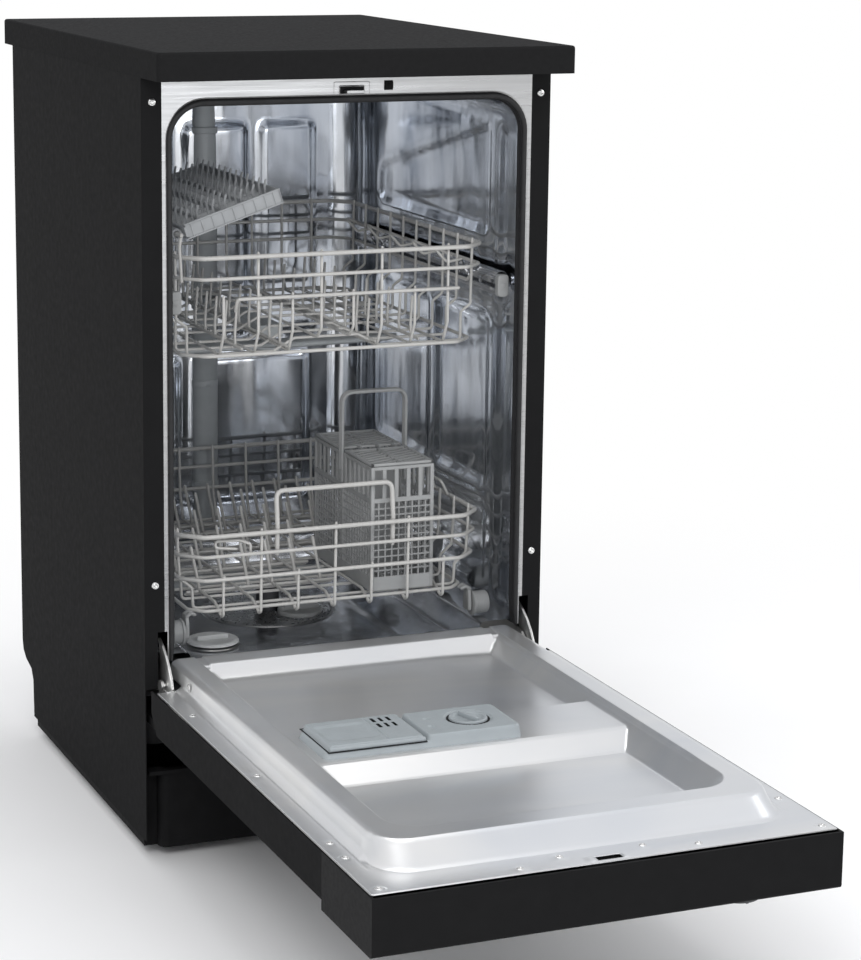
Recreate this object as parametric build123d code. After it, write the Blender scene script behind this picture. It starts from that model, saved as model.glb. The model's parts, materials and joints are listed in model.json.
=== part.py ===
from build123d import *
import os
from math import sin, cos, radians, pi

os.makedirs("parts", exist_ok=True)

# ---------------------------------------------------------------- driving dimensions (mm)
# Frame: +Z up, the front faces -Y, X to the right seen from the front.
# The door is drawn fully open (horizontal) and both racks are home.
HEIGHT = 845.0            # floor to worktop
WIDTH = 450.0             # worktop width
WT_FRONT, WT_BACK = -300.0, 300.0
WT_BOTTOM = 816.6         # underside of the worktop
CAB = 224.5               # half width of the cabinet
STRIP = 203.0             # inner edge of the black front strips
FRONT = -241.0            # plane of the cabinet front
BACK = 262.0
SHEET = 1.0
PIVOT_Y, PIVOT_Z = -248.0, 191.0   # door hinge axis, along X
FLANGE = 193.0            # inner flange plane of the open door
SKIN = 148.5              # outer skin plane of the open door
PANEL_SKIN = 139.0        # outer plane of the control panel
DOOR_END = PIVOT_Y - (WT_BOTTOM - 4.0 - PIVOT_Z)   # free edge of the open door
PANEL_STEP = -753.0       # where the control panel starts
RIM = 214.0               # top of the liner rim
RIM_HW = 196.5            # half width of the liner rim at its foot
TUB = 198.5               # half width inside the tub
TUB_BACK = 239.0
TUB_TOP = 795.0
TUB_FLOOR = 185.0
TRACK = 214.0             # wheel track in the tub
WHEEL_R = 14.0
ARM_Y = 12.0              # centre of the spray arms
ARM_R = 158.0
CY = 285.0                # shift so that the origin is the middle of the floor box

# ---------------------------------------------------------------- helpers
def bx(x0, x1, y0, y1, z0, z1):
    return Pos((x0 + x1) / 2, (y0 + y1) / 2, (z0 + z1) / 2) * Box(abs(x1 - x0), abs(y1 - y0), abs(z1 - z0))

def cx(y, z, r, x0, x1):
    return Pos((x0 + x1) / 2, y, z) * Rot(0, 90, 0) * Cylinder(r, abs(x1 - x0))

def cyy(x, z, r, y0, y1):
    return Pos(x, (y0 + y1) / 2, z) * Rot(90, 0, 0) * Cylinder(r, abs(y1 - y0))

def cz(x, y, r, z0, z1):
    return Pos(x, y, (z0 + z1) / 2) * Cylinder(r, abs(z1 - z0))

def rod(p, q, r):
    a, b = Vector(*p), Vector(*q)
    d = b - a
    pl = Plane(origin=(a + b) / 2, z_dir=d)
    return pl * Cylinder(r, d.length)

def prism_x(pts, x0, x1):
    # polygon given as (y, z), extruded along X from x0 to x1
    w = Wire.make_polygon([Vector(x0, p[0], p[1]) for p in pts], close=True)
    return Solid.extrude(Face(w), Vector(x1 - x0, 0, 0))

def prism_z(pts, z0, z1):
    w = Wire.make_polygon([Vector(p[0], p[1], z0) for p in pts], close=True)
    return Solid.extrude(Face(w), Vector(0, 0, z1 - z0))

def prism_y(pts, y0, y1):
    # polygon given as (x, z)
    w = Wire.make_polygon([Vector(p[0], y0, p[1]) for p in pts], close=True)
    return Solid.extrude(Face(w), Vector(0, y1 - y0, 0))

def flat(s):
    if isinstance(s, (list, tuple)):
        out = []
        for k in s:
            out += flat(k)
        return out
    return list(s.solids())

def fuse(*shapes):
    sol = flat(list(shapes))
    if len(sol) == 1:
        return sol[0]
    r = Part() + sol
    return r

def mirror_x(s):
    return mirror(s, about=Plane.YZ)

def save(name, *shapes):
    sol = [Location((0, CY, 0)) * k for k in flat(list(shapes))]
    part = Compound(children=sol) if len(sol) > 1 else sol[0]
    part.label = name
    export_step(part, f"parts/{name}.step")

def rrect(hw, z0, z1, r, y, depth):
    # upright slab with two rounded top corners, open U use: |x|<=hw, z0..z1
    b = bx(-hw, hw, y, y + depth, z0, z1)
    e = b.edges().filter_by(Axis.Y).sort_by(Axis.Z)[-2:]
    return fillet(e, r)

# ---------------------------------------------------------------- cabinet
top = bx(-WIDTH / 2, WIDTH / 2, WT_FRONT, WT_BACK, WT_BOTTOM, HEIGHT)
top = fillet(top.edges().filter_by(Axis.Z), 5)
top = fillet(top.faces().sort_by(Axis.Z)[-1].edges(), 3)
save("worktop", top)

def side_panel():
    # left panel: outer sheet with the notch at the lower back, front strip folded in
    sheet = prism_x([(FRONT, 21.4), (212, 21.4), (214, 66), (222, 78), (246, 84), (258, 92),
                     (BACK, 104), (BACK, WT_BOTTOM), (FRONT, WT_BOTTOM)], -CAB, -CAB + SHEET)
    strip = bx(-CAB, -STRIP, FRONT, FRONT + SHEET, 186, WT_BOTTOM)
    strip -= bx(-210.5, -STRIP + 1, FRONT - 2, FRONT + 3, 180, 247)
    strip -= prism_y([(-226, 180), (-214, 180), (-214, 186.5), (-223.4, 186.5)], FRONT - 2, FRONT + 3)
    lip = bx(-STRIP - SHEET, -STRIP, FRONT, FRONT + 10, 247, WT_BOTTOM)
    rear = bx(-CAB, -CAB + 16, BACK - SHEET, BACK, 106, WT_BOTTOM)
    p = fuse(sheet, strip, lip, rear)
    for z in (792.3, 297.0):
        p -= cyy(-213.0, z, 2.2, FRONT - 2, FRONT + 3)
    return p

lp = side_panel()
save("left_side_panel", lp)
save("right_side_panel", mirror_x(lp))

rp = bx(-CAB + 17, CAB - 17, BACK - SHEET, BACK, 112, WT_BOTTOM)
for x in (-120, 0, 120):
    rp = fuse(rp, bx(x - 6, x + 6, BACK, BACK + 4, 150, 780))
rp -= cyy(-150, 150 - 20, 9, BACK - 3, BACK + 6)
save("rear_panel", rp)

# base tray, open on top, carries the wet parts and the tub
tray = bx(-221, 221, -222, 210, 10, 92) - bx(-218, 218, -219, 207, 14, 95)
for x in (-60, 60):
    tray = fuse(tray, bx(x - 2, x + 2, -219, -120, 14, 60))
tray = tray - cyy(186, 54, 10.2, 200, 215) - cyy(-48, 46, 9.2, 200, 215)
save("base_tray", tray)

pl = prism_z([(-207, -229), (-207, -196), (-203, -196), (-203, -229)], 10, 96)
corner = bx(-207, 207, -235, -196, 10, 96)
corner = fillet(corner.edges().filter_by(Axis.Z).sort_by(Axis.Y)[:2], 9)
inner = bx(-203, 203, -231, -190, 8, 98)
inner = fillet(inner.edges().filter_by(Axis.Z).sort_by(Axis.Y)[:2], 5)
plinth = corner - inner
ledge = bx(-220, 220, -239, -223, 92, 96) - bx(-202.9, 202.9, -230.9, -220, 90, 99)
plinth = fuse(plinth, ledge)
plinth = plinth - bx(-222, 222, -222.2, -190, 8, 99)
save("plinth", plinth)

feet = []
for x in (-185, 185):
    for y in (-190, 180):
        feet.append(fuse(cz(x, y, 16, 0, 5), cz(x, y, 7, 5, 10)))
save("levelling_feet", feet)

# ---------------------------------------------------------------- tub
TRK = 168.4               # where the wheel tracks start
tw = bx(-TUB - 0.8, -TUB, FRONT + 2, TUB_BACK + 0.8, TUB_FLOOR - 1, TUB_TOP)
tback = bx(-TUB, TUB, TUB_BACK, TUB_BACK + 0.8, TUB_FLOOR - 1, TUB_TOP)
troof = bx(-TUB - 0.8, TUB + 0.8, FRONT + 2, TUB_BACK + 0.8, TUB_TOP, TUB_TOP + 0.8)
save("tub_shell", tw, mirror_x(tw), tback, troof)
floor = fuse(bx(-TRK, TRK, -213, 225, TUB_FLOOR - 1, TUB_FLOOR),
             bx(-TRK - 1, -TRK, -214, 226, TUB_FLOOR - 1, TRACK), bx(TRK, TRK + 1, -214, 226, TUB_FLOOR - 1, TRACK),
             bx(-TUB, -TRK, -214, TUB_BACK, TRACK - 1, TRACK), bx(TRK, TUB, -214, TUB_BACK, TRACK - 1, TRACK),
             bx(-TRK, TRK, -214, -213, TUB_FLOOR - 1, TRACK), bx(-TRK, TRK, 225, 226, TUB_FLOOR - 1, TRACK),
             bx(-TRK, TRK, 226, TUB_BACK, TRACK - 1, TRACK))
floor = floor - bx(-TRK + 0.01, TRK - 0.01, -213, 225, TRACK - 2, TRACK + 1)
CAPSX, CAPSY = -104.0, -100.0    # salt tank cap
floor = floor - cz(0, ARM_Y, 74, 180, 190) - cz(CAPSX, CAPSY, 26, 180, 190)
save("tub_floor", floor)

# bright front frame around the opening
fr = bx(-STRIP, STRIP, FRONT, FRONT + 1.2, 794.8, WT_BOTTOM)
fr -= bx(-13, 13, FRONT - 2, FRONT + 3, 796.5, 803.5)
fr -= bx(35.5, 45.5, FRONT - 2, FRONT + 3, 799, 809)
corner = bx(-199.5, -157.5, FRONT, FRONT + 1.2, 752.8, 794.8) - cyy(-157.5, 752.8, 42, FRONT - 1, FRONT + 3)
save("front_frame", fr, bx(-STRIP, -199.5, FRONT, FRONT + 1.2, 247, 794.8), bx(199.5, STRIP, FRONT, FRONT + 1.2, 247, 794.8),
     corner, mirror_x(corner))

g = rrect(198.3, 206, 794.6, 41, FRONT - 3, 17) - rrect(197.0, 190, 787.0, 40, FRONT - 5, 22)
g -= bx(-150, 150, FRONT + 2, FRONT + 11, 780, 791)
save("door_gasket", g)

# striker: plate behind the slot with a tongue that enters the latch
st = fuse(bx(-22, 22, FRONT + 1.2, FRONT + 3.2, 795.8, 812), bx(-9, 9, FRONT - 11, FRONT + 1.2, 797.5, 800.0))
st = st - bx(-5, 5, FRONT - 9.5, FRONT - 6.5, 797, 803)
save("latch_striker", st)
ds = fillet(bx(35.7, 45.3, FRONT - 1.5, FRONT + 6, 799.2, 808.8).edges().filter_by(Axis.Y), 2.5)
save("door_switch", ds)

scr = []
for sx in (-1, 1):
    for z in (792.3, 297.0):
        scr.append(fuse(cyy(sx * 213.0, z, 3.9, FRONT - 2.2, FRONT), cyy(sx * 213.0, z, 2.0, FRONT, FRONT + 6)))
for sx in (-1, 1):
    for z in (780, 480, 180):
        scr.append(fuse(cyy(sx * 216, z, 4, BACK, BACK + 2.2)))
save("cabinet_screws", scr)

# ---------------------------------------------------------------- fixed rails of the upper rack
def rail_outer(s):
    web = bx(s * 190.8, s * 192.0, -208, 222, 573, 599)
    up = bx(s * 181.0, s * 190.8, -208, 222, 597.8, 599)
    dn = bx(s * 181.0, s * 190.8, -208, 222, 573, 574.2)
    stop = bx(s * 192.0, s * TUB, -200, -170, 577, 595)
    stop2 = bx(s * 192.0, s * TUB, 150, 180, 577, 595)
    return fuse(web, up, dn, stop, stop2)
save("upper_rail_channels", rail_outer(-1), rail_outer(1))

def rail_mid(s):
    web = bx(s * 188.6, s * 189.8, -210, 214, 575.4, 596.6)
    up = bx(s * 180.6, s * 188.6, -210, 214, 595.4, 596.6)
    dn = bx(s * 180.6, s * 188.6, -210, 214, 575.4, 576.6)
    return fuse(web, up, dn)
save("upper_rail_middles", rail_mid(-1), rail_mid(1))

# ---------------------------------------------------------------- wet parts
hub = cz(0, ARM_Y, 13, 194, 220)
sump = fuse(cz(0, ARM_Y, 70, 128, 181) - cz(0, ARM_Y, 66, 132, 190),
            cz(0, ARM_Y, 86, 181, TUB_FLOOR - 1) - cz(0, ARM_Y, 66, 178, 190),
            cz(0, ARM_Y, 24, 118, 129))
save("sump", sump, fuse(cz(0, ARM_Y, 10, 132.03, 196), hub))
# flat filter plate with the twist filter in it, off centre
FX, FY = 30.0, -14.0
fp = cz(0, ARM_Y, 73, TUB_FLOOR, 187) - cz(0, ARM_Y, 13.5, 180, 190) - cz(FX, FY, 23.5, 180, 190)
for k in range(9):
    a = radians(10 + k * 27)
    fp -= cz(56 * cos(a), ARM_Y + 56 * sin(a), 4.5, 180, 190)
save("filter_plate", fp)
fc = fuse(cz(FX, FY, 22, 140, 187), cz(FX, FY, 26, 187.3, 190), bx(FX - 3, FX + 3, FY - 18, FY + 18, 190, 200), cz(FX, FY, 22, 187, 187.3))
fc = fc - cz(FX, FY, 19, 138, 184)
for k in range(8):
    a = k * 45
    fc -= Pos(FX, FY, 160) * Rot(0, 0, a) * Pos(20, 0, 0) * Box(10, 7, 26)
save("twist_filter", fc)

# salt tank under the floor with its cap
tank = bx(-198, -84, -152, -56, 96, 172)
tank = fillet(tank.edges().filter_by(Axis.Z), 12)
tank = fuse(tank - bx(-194, -88, -148, -60, 100, 168), cz(CAPSX, CAPSY, 25, 168, 188))
tank = tank - cz(CAPSX, CAPSY, 20, 160, 190)
save("salt_tank", tank)
cap = fuse(cz(CAPSX, CAPSY, 29, 188.3, 196), cz(CAPSX, CAPSY, 19, 176, 188.3))
for k in range(12):
    a = radians(k * 30)
    cap -= cz(CAPSX + 30 * cos(a), CAPSY + 30 * sin(a), 3.2, 186, 200)
save("salt_cap", cap)

pump = fuse(cyy(70, 66, 38, -30, 70), cyy(70, 66, 46, 70, 86), cyy(70, 66, 16, 86, 106), cyy(70, 66, 12, -44, -30),
            cz(70, 78, 7, 108, 122))
pump = pump - cyy(70, 66, 8, 64, 112)
save("circulation_pump", pump)
save("drain_pump", fuse(cx(60, 60, 27, -96, -36), cx(60, 60, 34, -36, -24), cz(-30, 60, 10, 60, 117)))
save("heater", fuse(cyy(150, 70, 26, -160, 20), cyy(150, 70, 12, 20, 40), cyy(150, 70, 12, -176, -160)))
iv = fuse(bx(150, 200, 150, 196, 30, 70), cyy(186, 54, 10, 196, 218))
iv = iv - cyy(186, 54, 7, 200, 220)
do = fuse(bx(-60, -36, 182, 196, 30, 62), cyy(-48, 46, 9, 196, 222)) - cyy(-48, 46, 6, 198, 224)
save("inlet_and_outlet_fittings", iv, do)
ab = fillet(bx(-219, -203, -120, 160, 300, 640).edges().filter_by(Axis.X), 18)
for z in (380, 460, 540):
    ab = fuse(ab, bx(-220.5, -219, -100, 140, z, z + 6))
save("water_jacket", ab)
save("counterweight", bx(-200, 200, 214, 256, 108, 150), bx(-130, 110, -112, -72, 16, 54))
save("spray_feed_parts",
     fuse(bx(-16, 16, TUB_BACK - 14, TUB_BACK - 0.2, 218, 760), cyy(0, 512, 7, 219, TUB_BACK - 14)),
     fuse(cz(0, ARM_Y, 24, 786, 790), cz(0, ARM_Y, 12, 790, TUB_TOP)) - cz(0, ARM_Y, 6, 784, 793),
     fuse(cz(0, ARM_Y, 13, 220.2, 232.4), cz(0, ARM_Y, 18, 232.4, 236)))

# ---------------------------------------------------------------- hinge, fixed side
def hinge_fixed(s):
    pts = [(-258, 181), (-258, 201), (-248, 209), (-205, 216), (-120, 216), (-120, 166), (-215, 166), (-238, 172)]
    return prism_x(pts, s * 199.7, s * 202.2)
def hinge_pin(s):
    return fuse(cx(PIVOT_Y, PIVOT_Z, 4.0, s * 202.2, s * 208.0), cx(PIVOT_Y, PIVOT_Z, 7.0, s * 208.0, s * 211.0))
save("hinge_brackets", fuse(hinge_fixed(-1), hinge_pin(-1)), fuse(hinge_fixed(1), hinge_pin(1)))
def spring(s):
    # tension spring along the side of the base, with its two hooks
    y0, y1 = -140.0, 30.0
    body = fuse(cyy(s * 211, 140, 7.4, y0, y1), *[cyy(s * 211, 140, 8.2, y0 + 10 * k, y0 + 10 * k + 6) for k in range(1, 17)])
    hook = fuse(cyy(s * 211, 140, 2.0, y1 - 2, y1 + 26), bx(s * 205, s * 217, y1 - 2, y1, 134, 146))
    hook2 = fuse(cyy(s * 211, 140, 2.0, y0 - 22, y0 + 2), bx(s * 205, s * 217, y0, y0 + 2, 134, 146))
    return fuse(body, hook, hook2) - cyy(s * 211, 140, 5.0, y0 + 4, y1 - 4)
save("door_springs", spring(-1), spring(1))

# ---------------------------------------------------------------- door (open, horizontal)
yh = -262.0
skin = fuse(
    bx(-CAB, CAB, PANEL_STEP, yh, SKIN, SKIN + 1.2),
    prism_x([(PANEL_STEP, SKIN), (-280, SKIN), (yh, SKIN + 20), (yh, FLANGE - 1.2), (PANEL_STEP, FLANGE - 1.2)], -CAB, -CAB + 1.2),
    prism_x([(PANEL_STEP, SKIN), (-280, SKIN), (yh, SKIN + 20), (yh, FLANGE - 1.2), (PANEL_STEP, FLANGE - 1.2)], CAB - 1.2, CAB),
    bx(-219, 219, yh, -170, SKIN, SKIN + 1.2),
    bx(-219, -217.8, yh - 2, -170, SKIN, SKIN + 8), bx(217.8, 219, yh - 2, -170, SKIN, SKIN + 8),
    bx(-219, 219, -171.2, -170, SKIN, SKIN + 8))
skin = skin - bx(-CAB - 1, -219, yh - 18, yh + 1, SKIN - 1, SKIN + 1.2) - bx(219, CAB + 1, yh - 18, yh + 1, SKIN - 1, SKIN + 1.2)
save("door_outer_panel", skin)

cp = bx(-CAB, CAB, DOOR_END, PANEL_STEP, PANEL_SKIN, FLANGE - 1.2)
cp = fillet(cp.faces().sort_by(Axis.Z)[0].edges().filter_by(Axis.X).sort_by(Axis.Y)[:1], 4)
cp = cp - bx(-CAB + 2.5, CAB - 2.5, DOOR_END + 2.5, PANEL_STEP + 1, PANEL_SKIN + 2.5, FLANGE)
cp = fuse(cp, bx(-CAB + 2.5, CAB - 2.5, PANEL_STEP - 2.5, PANEL_STEP, PANEL_SKIN + 2.5, SKIN - 0.4))
KX = 150.0
BTN = (-196.0, 60.0)
PC = (DOOR_END + PANEL_STEP) / 2 - 3
cp = cp - cz(KX, PC, 7, PANEL_SKIN - 2, PANEL_SKIN + 5)
for b in BTN:
    cp -= bx(b - 10.3, b + 10.3, PC - 6.3, PC + 6.3, PANEL_SKIN - 2, PANEL_SKIN + 5)
save("control_panel", cp)
save("control_board", bx(-205, 205, PC - 30, PC + 30, PANEL_SKIN + 12, PANEL_SKIN + 13.6), bx(-60, 30, PC - 14, PC + 16, PANEL_SKIN + 13.6, PANEL_SKIN + 24))
kn = fuse(cz(KX, PC, 21, PANEL_SKIN - 16, PANEL_SKIN - 1), cz(KX, PC, 24, PANEL_SKIN - 3, PANEL_SKIN - 0.6), cz(KX, PC, 5, PANEL_SKIN - 1, PANEL_SKIN + 11.5))
kn = fuse(kn, bx(KX - 1.2, KX + 1.2, PC - 20, PC - 8, PANEL_SKIN - 17, PANEL_SKIN - 15))
save("program_knob", kn)
save("power_button", fuse(bx(BTN[0] - 9.8, BTN[0] + 9.8, PC - 5.8, PC + 5.8, PANEL_SKIN - 3.2, PANEL_SKIN + 3), bx(BTN[0] - 12, BTN[0] + 12, PC - 8, PC + 8, PANEL_SKIN + 3, PANEL_SKIN + 4.2)))
save("start_button", fuse(bx(BTN[1] - 9.8, BTN[1] + 9.8, PC - 5.8, PC + 5.8, PANEL_SKIN - 3.2, PANEL_SKIN + 3), bx(BTN[1] - 12, BTN[1] + 12, PC - 8, PC + 8, PANEL_SKIN + 3, PANEL_SKIN + 4.2)))

# liner: flange, raised rim, upper floor, dispenser shelf, step and lower recess
FL0, FL1 = -276.0, -862.0
LOW, SHELF, UPPER = 190.0, 206.5, 197.0      # levels inside the rim
flange = bx(-222, 222, FL1, FL0, FLANGE - 1.2, FLANGE)
flange = fuse(flange, bx(-RIM_HW, RIM_HW, FL0, -240, FLANGE - 1.2, FLANGE))
ro = bx(-RIM_HW, RIM_HW, -826, -233, FLANGE - 1.2, RIM)
ro = fillet(ro.edges().filter_by(Axis.Z).sort_by(Axis.Y)[:2], 32)
wedge = prism_x([(-830, FLANGE), (-826, FLANGE), (-803, RIM), (-803, RIM + 5), (-830, RIM + 5)], -200, 200)
ro = ro - wedge
liner = fuse(flange, ro)
liner = liner - bx(-RIM_HW + 1.6, RIM_HW - 1.6, -794, -234.6, FLANGE - 2, 194.2)
for s in (-1, 1):
    liner = liner - bx(s * (RIM_HW - 1.5), s * 161.6, -793, -234.6, 190, RIM - 1.6)
liner = liner - bx(-161.7, 161.7, -778, -234.6, FLANGE - 3, RIM - 1.6) - bx(-160, 160, -776.5, -262, FLANGE - 4, RIM + 5)
# the floor inside the rim follows one bent profile
prof = [(-777.5, RIM), (-775.8, RIM), (-752, LOW), (-602, LOW), (-577, SHELF), (-489, SHELF), (-483, UPPER), (-266, UPPER), (-261, RIM), (-259.5, RIM)]
low = [(-259.5, RIM - 1.6), (-264.2, UPPER - 1.6), (-484.2, UPPER - 1.6), (-490.2, SHELF - 1.6), (-576, SHELF - 1.6), (-601, LOW - 1.6), (-752.8, LOW - 1.6), (-776.9, RIM - 1.8)]
pan = prism_x(prof + low, -160.2, 160.2)
webs = [prism_x([(-777.5, RIM), (-754, LOW - 1.6), (-600, LOW - 1.6), (-259.5, UPPER - 4), (-259.5, RIM)], s * 160, s * 161.6) for s in (-1, 1)]
liner = fuse(liner, pan, *webs)
liner = liner - bx(-15, 15, -859.5, -850, 190, 196)          # latch slot
DX0, DX1, DY0, DY1 = -151.5, 52.5, -570.0, -494.0               # dispenser outline
liner = liner - bx(DX0 + 6, DX1 - 6, DY0 + 6, DY1 - 6, 188, 220)
save("door_liner", liner)

dscr = []
for y in (-360, -552, -740, -777):
    for sx in (-1, 1):
        dscr.append(cz(sx * 212, y, 3.6, FLANGE, FLANGE + 1.6))
for x in (-210, -83, -40, 40, 88, 210):
    dscr.append(cz(x, -853 if abs(x) > 60 else -840, 3.6, FLANGE, FLANGE + 1.6))
save("door_screws", dscr)

# latch in the door, behind the slot
la = bx(-26, 26, -862.5, -840, 172, FLANGE - 1.4) - bx(-12.5, 12.5, -859.5, -850, 180, FLANGE)
save("door_latch", la)

# hinge arms: long leg inside the door, quarter-moon lever above the flange end
def hinge_arm(s):
    pts = [(-420, 160), (-420, 186), (-276.5, 186), (-273, 194), (-269, 204), (-262, 214), (-252, 224), (-240, 232.5), (-228, 238),
           (-232, 222), (-235, 205), (-236.5, 190), (-240, 180), (-256, 176), (-275, 160)]
    a = prism_x(pts, s * 203.4, s * 206.2)
    return a - cx(PIVOT_Y, PIVOT_Z, 4.3, s * 202, s * 208)
save("hinge_arms", hinge_arm(-1), hinge_arm(1))

# dispenser: housing through the liner, detergent cup with its lid, rinse aid side with its cap
SH = SHELF
db = bx(DX0, DX1, DY0, DY1, SH, SH + 6)
db = fillet(db.edges().filter_by(Axis.Z), 8)
db = fuse(db, bx(DX0 + 7, DX1 - 7, DY0 + 7, DY1 - 7, 168, SH))
raised = bx(-43.5, DX1, DY0, DY1, SH + 6, SH + 12)
raised = fillet(raised.edges().filter_by(Axis.Z).sort_by(Axis.X)[-2:], 8)
db = fuse(db, raised)
cup = bx(-135.5, -61.5, -560, -504, 176, SH + 8)
cup = fillet(cup.edges().filter_by(Axis.Z), 12)
db = db - cup
CAPX, CAPY = 11.5, -530.0
db = db - cz(CAPX, CAPY, 16, 192, SH + 14)
LID_Y, LID_Z = DY0 + 3.0, SH + 9.1
# ears with the pins that the lid turns on
db = fuse(db, bx(DX0, DX0 + 5, DY0 + 0.5, DY0 + 6, SH + 5, SH + 14.5), bx(-48, -42.5, DY0 + 0.5, DY0 + 6, SH + 5, SH + 12),
          cx(LID_Y, LID_Z, 1.2, DX0 + 4, DX0 + 8.5), cx(LID_Y, LID_Z, 1.2, -52, -46.5))
save("dispenser_body", db)
lid = bx(DX0 + 5.4, -48.4, LID_Y, DY1 + 1, SH + 6.6, SH + 12)
lid = fillet(lid.edges().filter_by(Axis.Z).sort_by(Axis.Y)[-2:], 8)
lid = fuse(lid, cx(LID_Y, LID_Z, 2.5, DX0 + 5.4, -48.4))
lid = lid - cx(LID_Y, LID_Z, 1.5, DX0 + 4, DX0 + 9) - cx(LID_Y, LID_Z, 1.5, -52.5, -46.5)
for k in range(3):
    for j in range(2):
        x0 = -78.5 + k * 8
        lid -= bx(x0, x0 + 3.4, DY1 - 18 - j * 17, DY1 - 7 - j * 17, SH + 4, SH + 14)
save("dispenser_lid", lid)
rc = fuse(cz(CAPX, CAPY, 18.5, SH + 12.2, SH + 13.2), cz(CAPX, CAPY, 15.4, 196, SH + 12.2))
wing = bx(CAPX - 2, CAPX + 2, CAPY - 15, CAPY + 15, SH + 13.2, SH + 15.5)
save("rinse_aid_cap", fuse(rc, wing))

# ---------------------------------------------------------------- racks
RF, RB = -208.0, 212.0     # front and back of the racks, home

def rack_walls(hw, ch, rails, ztop, zbot, nf=7, ns=10, rv=1.6):
    # rails round the rack, and upright wires welded on their inner side
    out = []
    e = 1.4
    for z, r in rails:
        out += [cx(RF, z, r, -hw + ch + e, hw - ch - e), cx(RB, z, r, -hw + ch + e, hw - ch - e)]
        for s in (-1, 1):
            out.append(cyy(s * hw, z, r, RF + ch + e, RB - ch - e))
            for ya, yb, d in ((RF, RF + ch, 1), (RB, RB - ch, -1)):
                out.append(rod((s * (hw - ch + e), ya + d * e, z), (s * (hw - e), yb - d * e, z), r))
    off = max(r for z, r in rails) + rv + 0.03
    for k in range(nf):
        x = (-hw + ch) + (2 * hw - 2 * ch) * (k + 0.5) / nf
        out += [cz(x, RF + off, rv, zbot, ztop), cz(x, RB - off, rv, zbot, ztop)]
    for k in range(ns):
        y = (RF + ch) + (RB - RF - 2 * ch) * (k + 0.5) / ns
        for s in (-1, 1):
            out.append(cz(s * (hw - off), y, rv, zbot, ztop))
    return out

def floor_wires(hw, z, xs, ys, r1, r2):
    # long wires on top of the cross wires
    parts = [cyy(x, z + r1 + r2 + 0.03, r1, RF + 8, RB - 8) for x in xs]
    parts += [cx(y, z, r2, -hw + 5.9, hw - 5.9) for y in ys]
    return parts

# upper rack
UH, UC = 171.0, 22.0
UZ = 524.0
u_rails = [(628.0, 2.5), (606.0, 2.0), (584.0, 2.0), (UZ, 2.0)]
ufx = [-125, -100, -75, -50, -25, 0, 25, 50, 75, 100, 125]
ufy = [-170, -120, -70, -20, 30, 80, 130, 180]
ut = []
for x in (-100, -50, 50, 100):
    for y in (-145, -95, -45, 5, 55, 105, 155):
        ut.append(cz(x, y, 1.6, UZ + 5.3, 572))
save("upper_rack_floor", floor_wires(UH, UZ, ufx, ufy, 1.6, 2.0), ut)
def inner_rail(s):
    bar = bx(s * 178.6, s * 187.6, -212, 206, 577.6, 594.4)
    arm1 = bx(s * 174.2, s * 178.6, -150, -110, 580, 592)
    arm2 = bx(s * 174.2, s * 178.6, 100, 140, 580, 592)
    return fuse(bar, arm1, arm2)
save("upper_rack_rails", inner_rail(-1), inner_rail(1))
ec = []
for s in (-1, 1):
    c = fillet(bx(s * 176.4, s * 189.6, -222.5, -212, 573.5, 598.5).edges().filter_by(Axis.Y), 3)
    ec.append(c)
save("rail_end_caps", ec)
save("upper_feed_tube",
     fuse(bx(-13, 13, ARM_Y - 13, 206, 504, 518), cyy(0, 512, 8.6, 206, 217.5), cz(0, ARM_Y, 9, 500.5, 504)) - cyy(0, 512, 7.4, 190, 219),
     fuse(cz(0, ARM_Y, 9, 488.6, 500.4), cz(0, ARM_Y, 14, 486, 488.6)))

# comb shelf over the left side, hinged on the side rail
def comb():
    L0, L1 = -196.0, 60.0
    y0, y1 = L0, L1
    HX, HZ = -170.0, 652.0
    t = radians(18)
    loc = Pos(HX, 0, HZ) * Rot(0, -18, 0)
    fr = [Pos(61, (y0 + y1) / 2, 0) * Box(112, y1 - y0, 3)]
    fr.append(Pos(61, y0 + 2, -1) * Box(112, 4, 15))
    fr.append(Pos(61, y1 - 2, -1) * Box(112, 4, 15))
    fr.append(Pos(115.5, (y0 + y1) / 2, -1) * Box(3, y1 - y0, 15))
    base = fuse(*fr)
    for k in range(11):
        yy = y0 + 16 + k * 22
        base -= Pos(38, yy + 4, 0) * Box(40, 13, 10)
        base -= Pos(86, yy + 4, 0) * Box(40, 13, 10)
    pins = []
    for k in range(11):
        yy = y0 + 15.5 + k * 22 - 6
        pins.append(Pos(16, yy, 9) * Box(2.4, 3, 17))
        pins.append(Pos(62, yy, 9) * Box(2.4, 3, 17))
    sleeves = [Pos(0, y, 0) * Rot(90, 0, 0) * (Cylinder(6.0, 24) - Cylinder(3.0, 26)) for y in (y0 + 20, (y0 + y1) / 2, y1 - 20)]
    sl2 = [Pos(6.5, y, 0) * Box(4, 24, 5) for y in (y0 + 20, (y0 + y1) / 2, y1 - 20)]
    b = fuse(base, *pins, *sleeves, *sl2)
    return loc * b
save("comb_shelf", comb())
# clips that carry the shelf pivot above the side rail
pivot = [cyy(-170.0, 652.0, 2.6, -200, 64)]
for y in (-198.5, -100, 20, 62):
    pivot.append(bx(-173.5, -168.5, y - 2, y + 2, 630.6, 649.3))
save("upper_rack_walls", rack_walls(UH, UC, u_rails, 628, 522), pivot)

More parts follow.
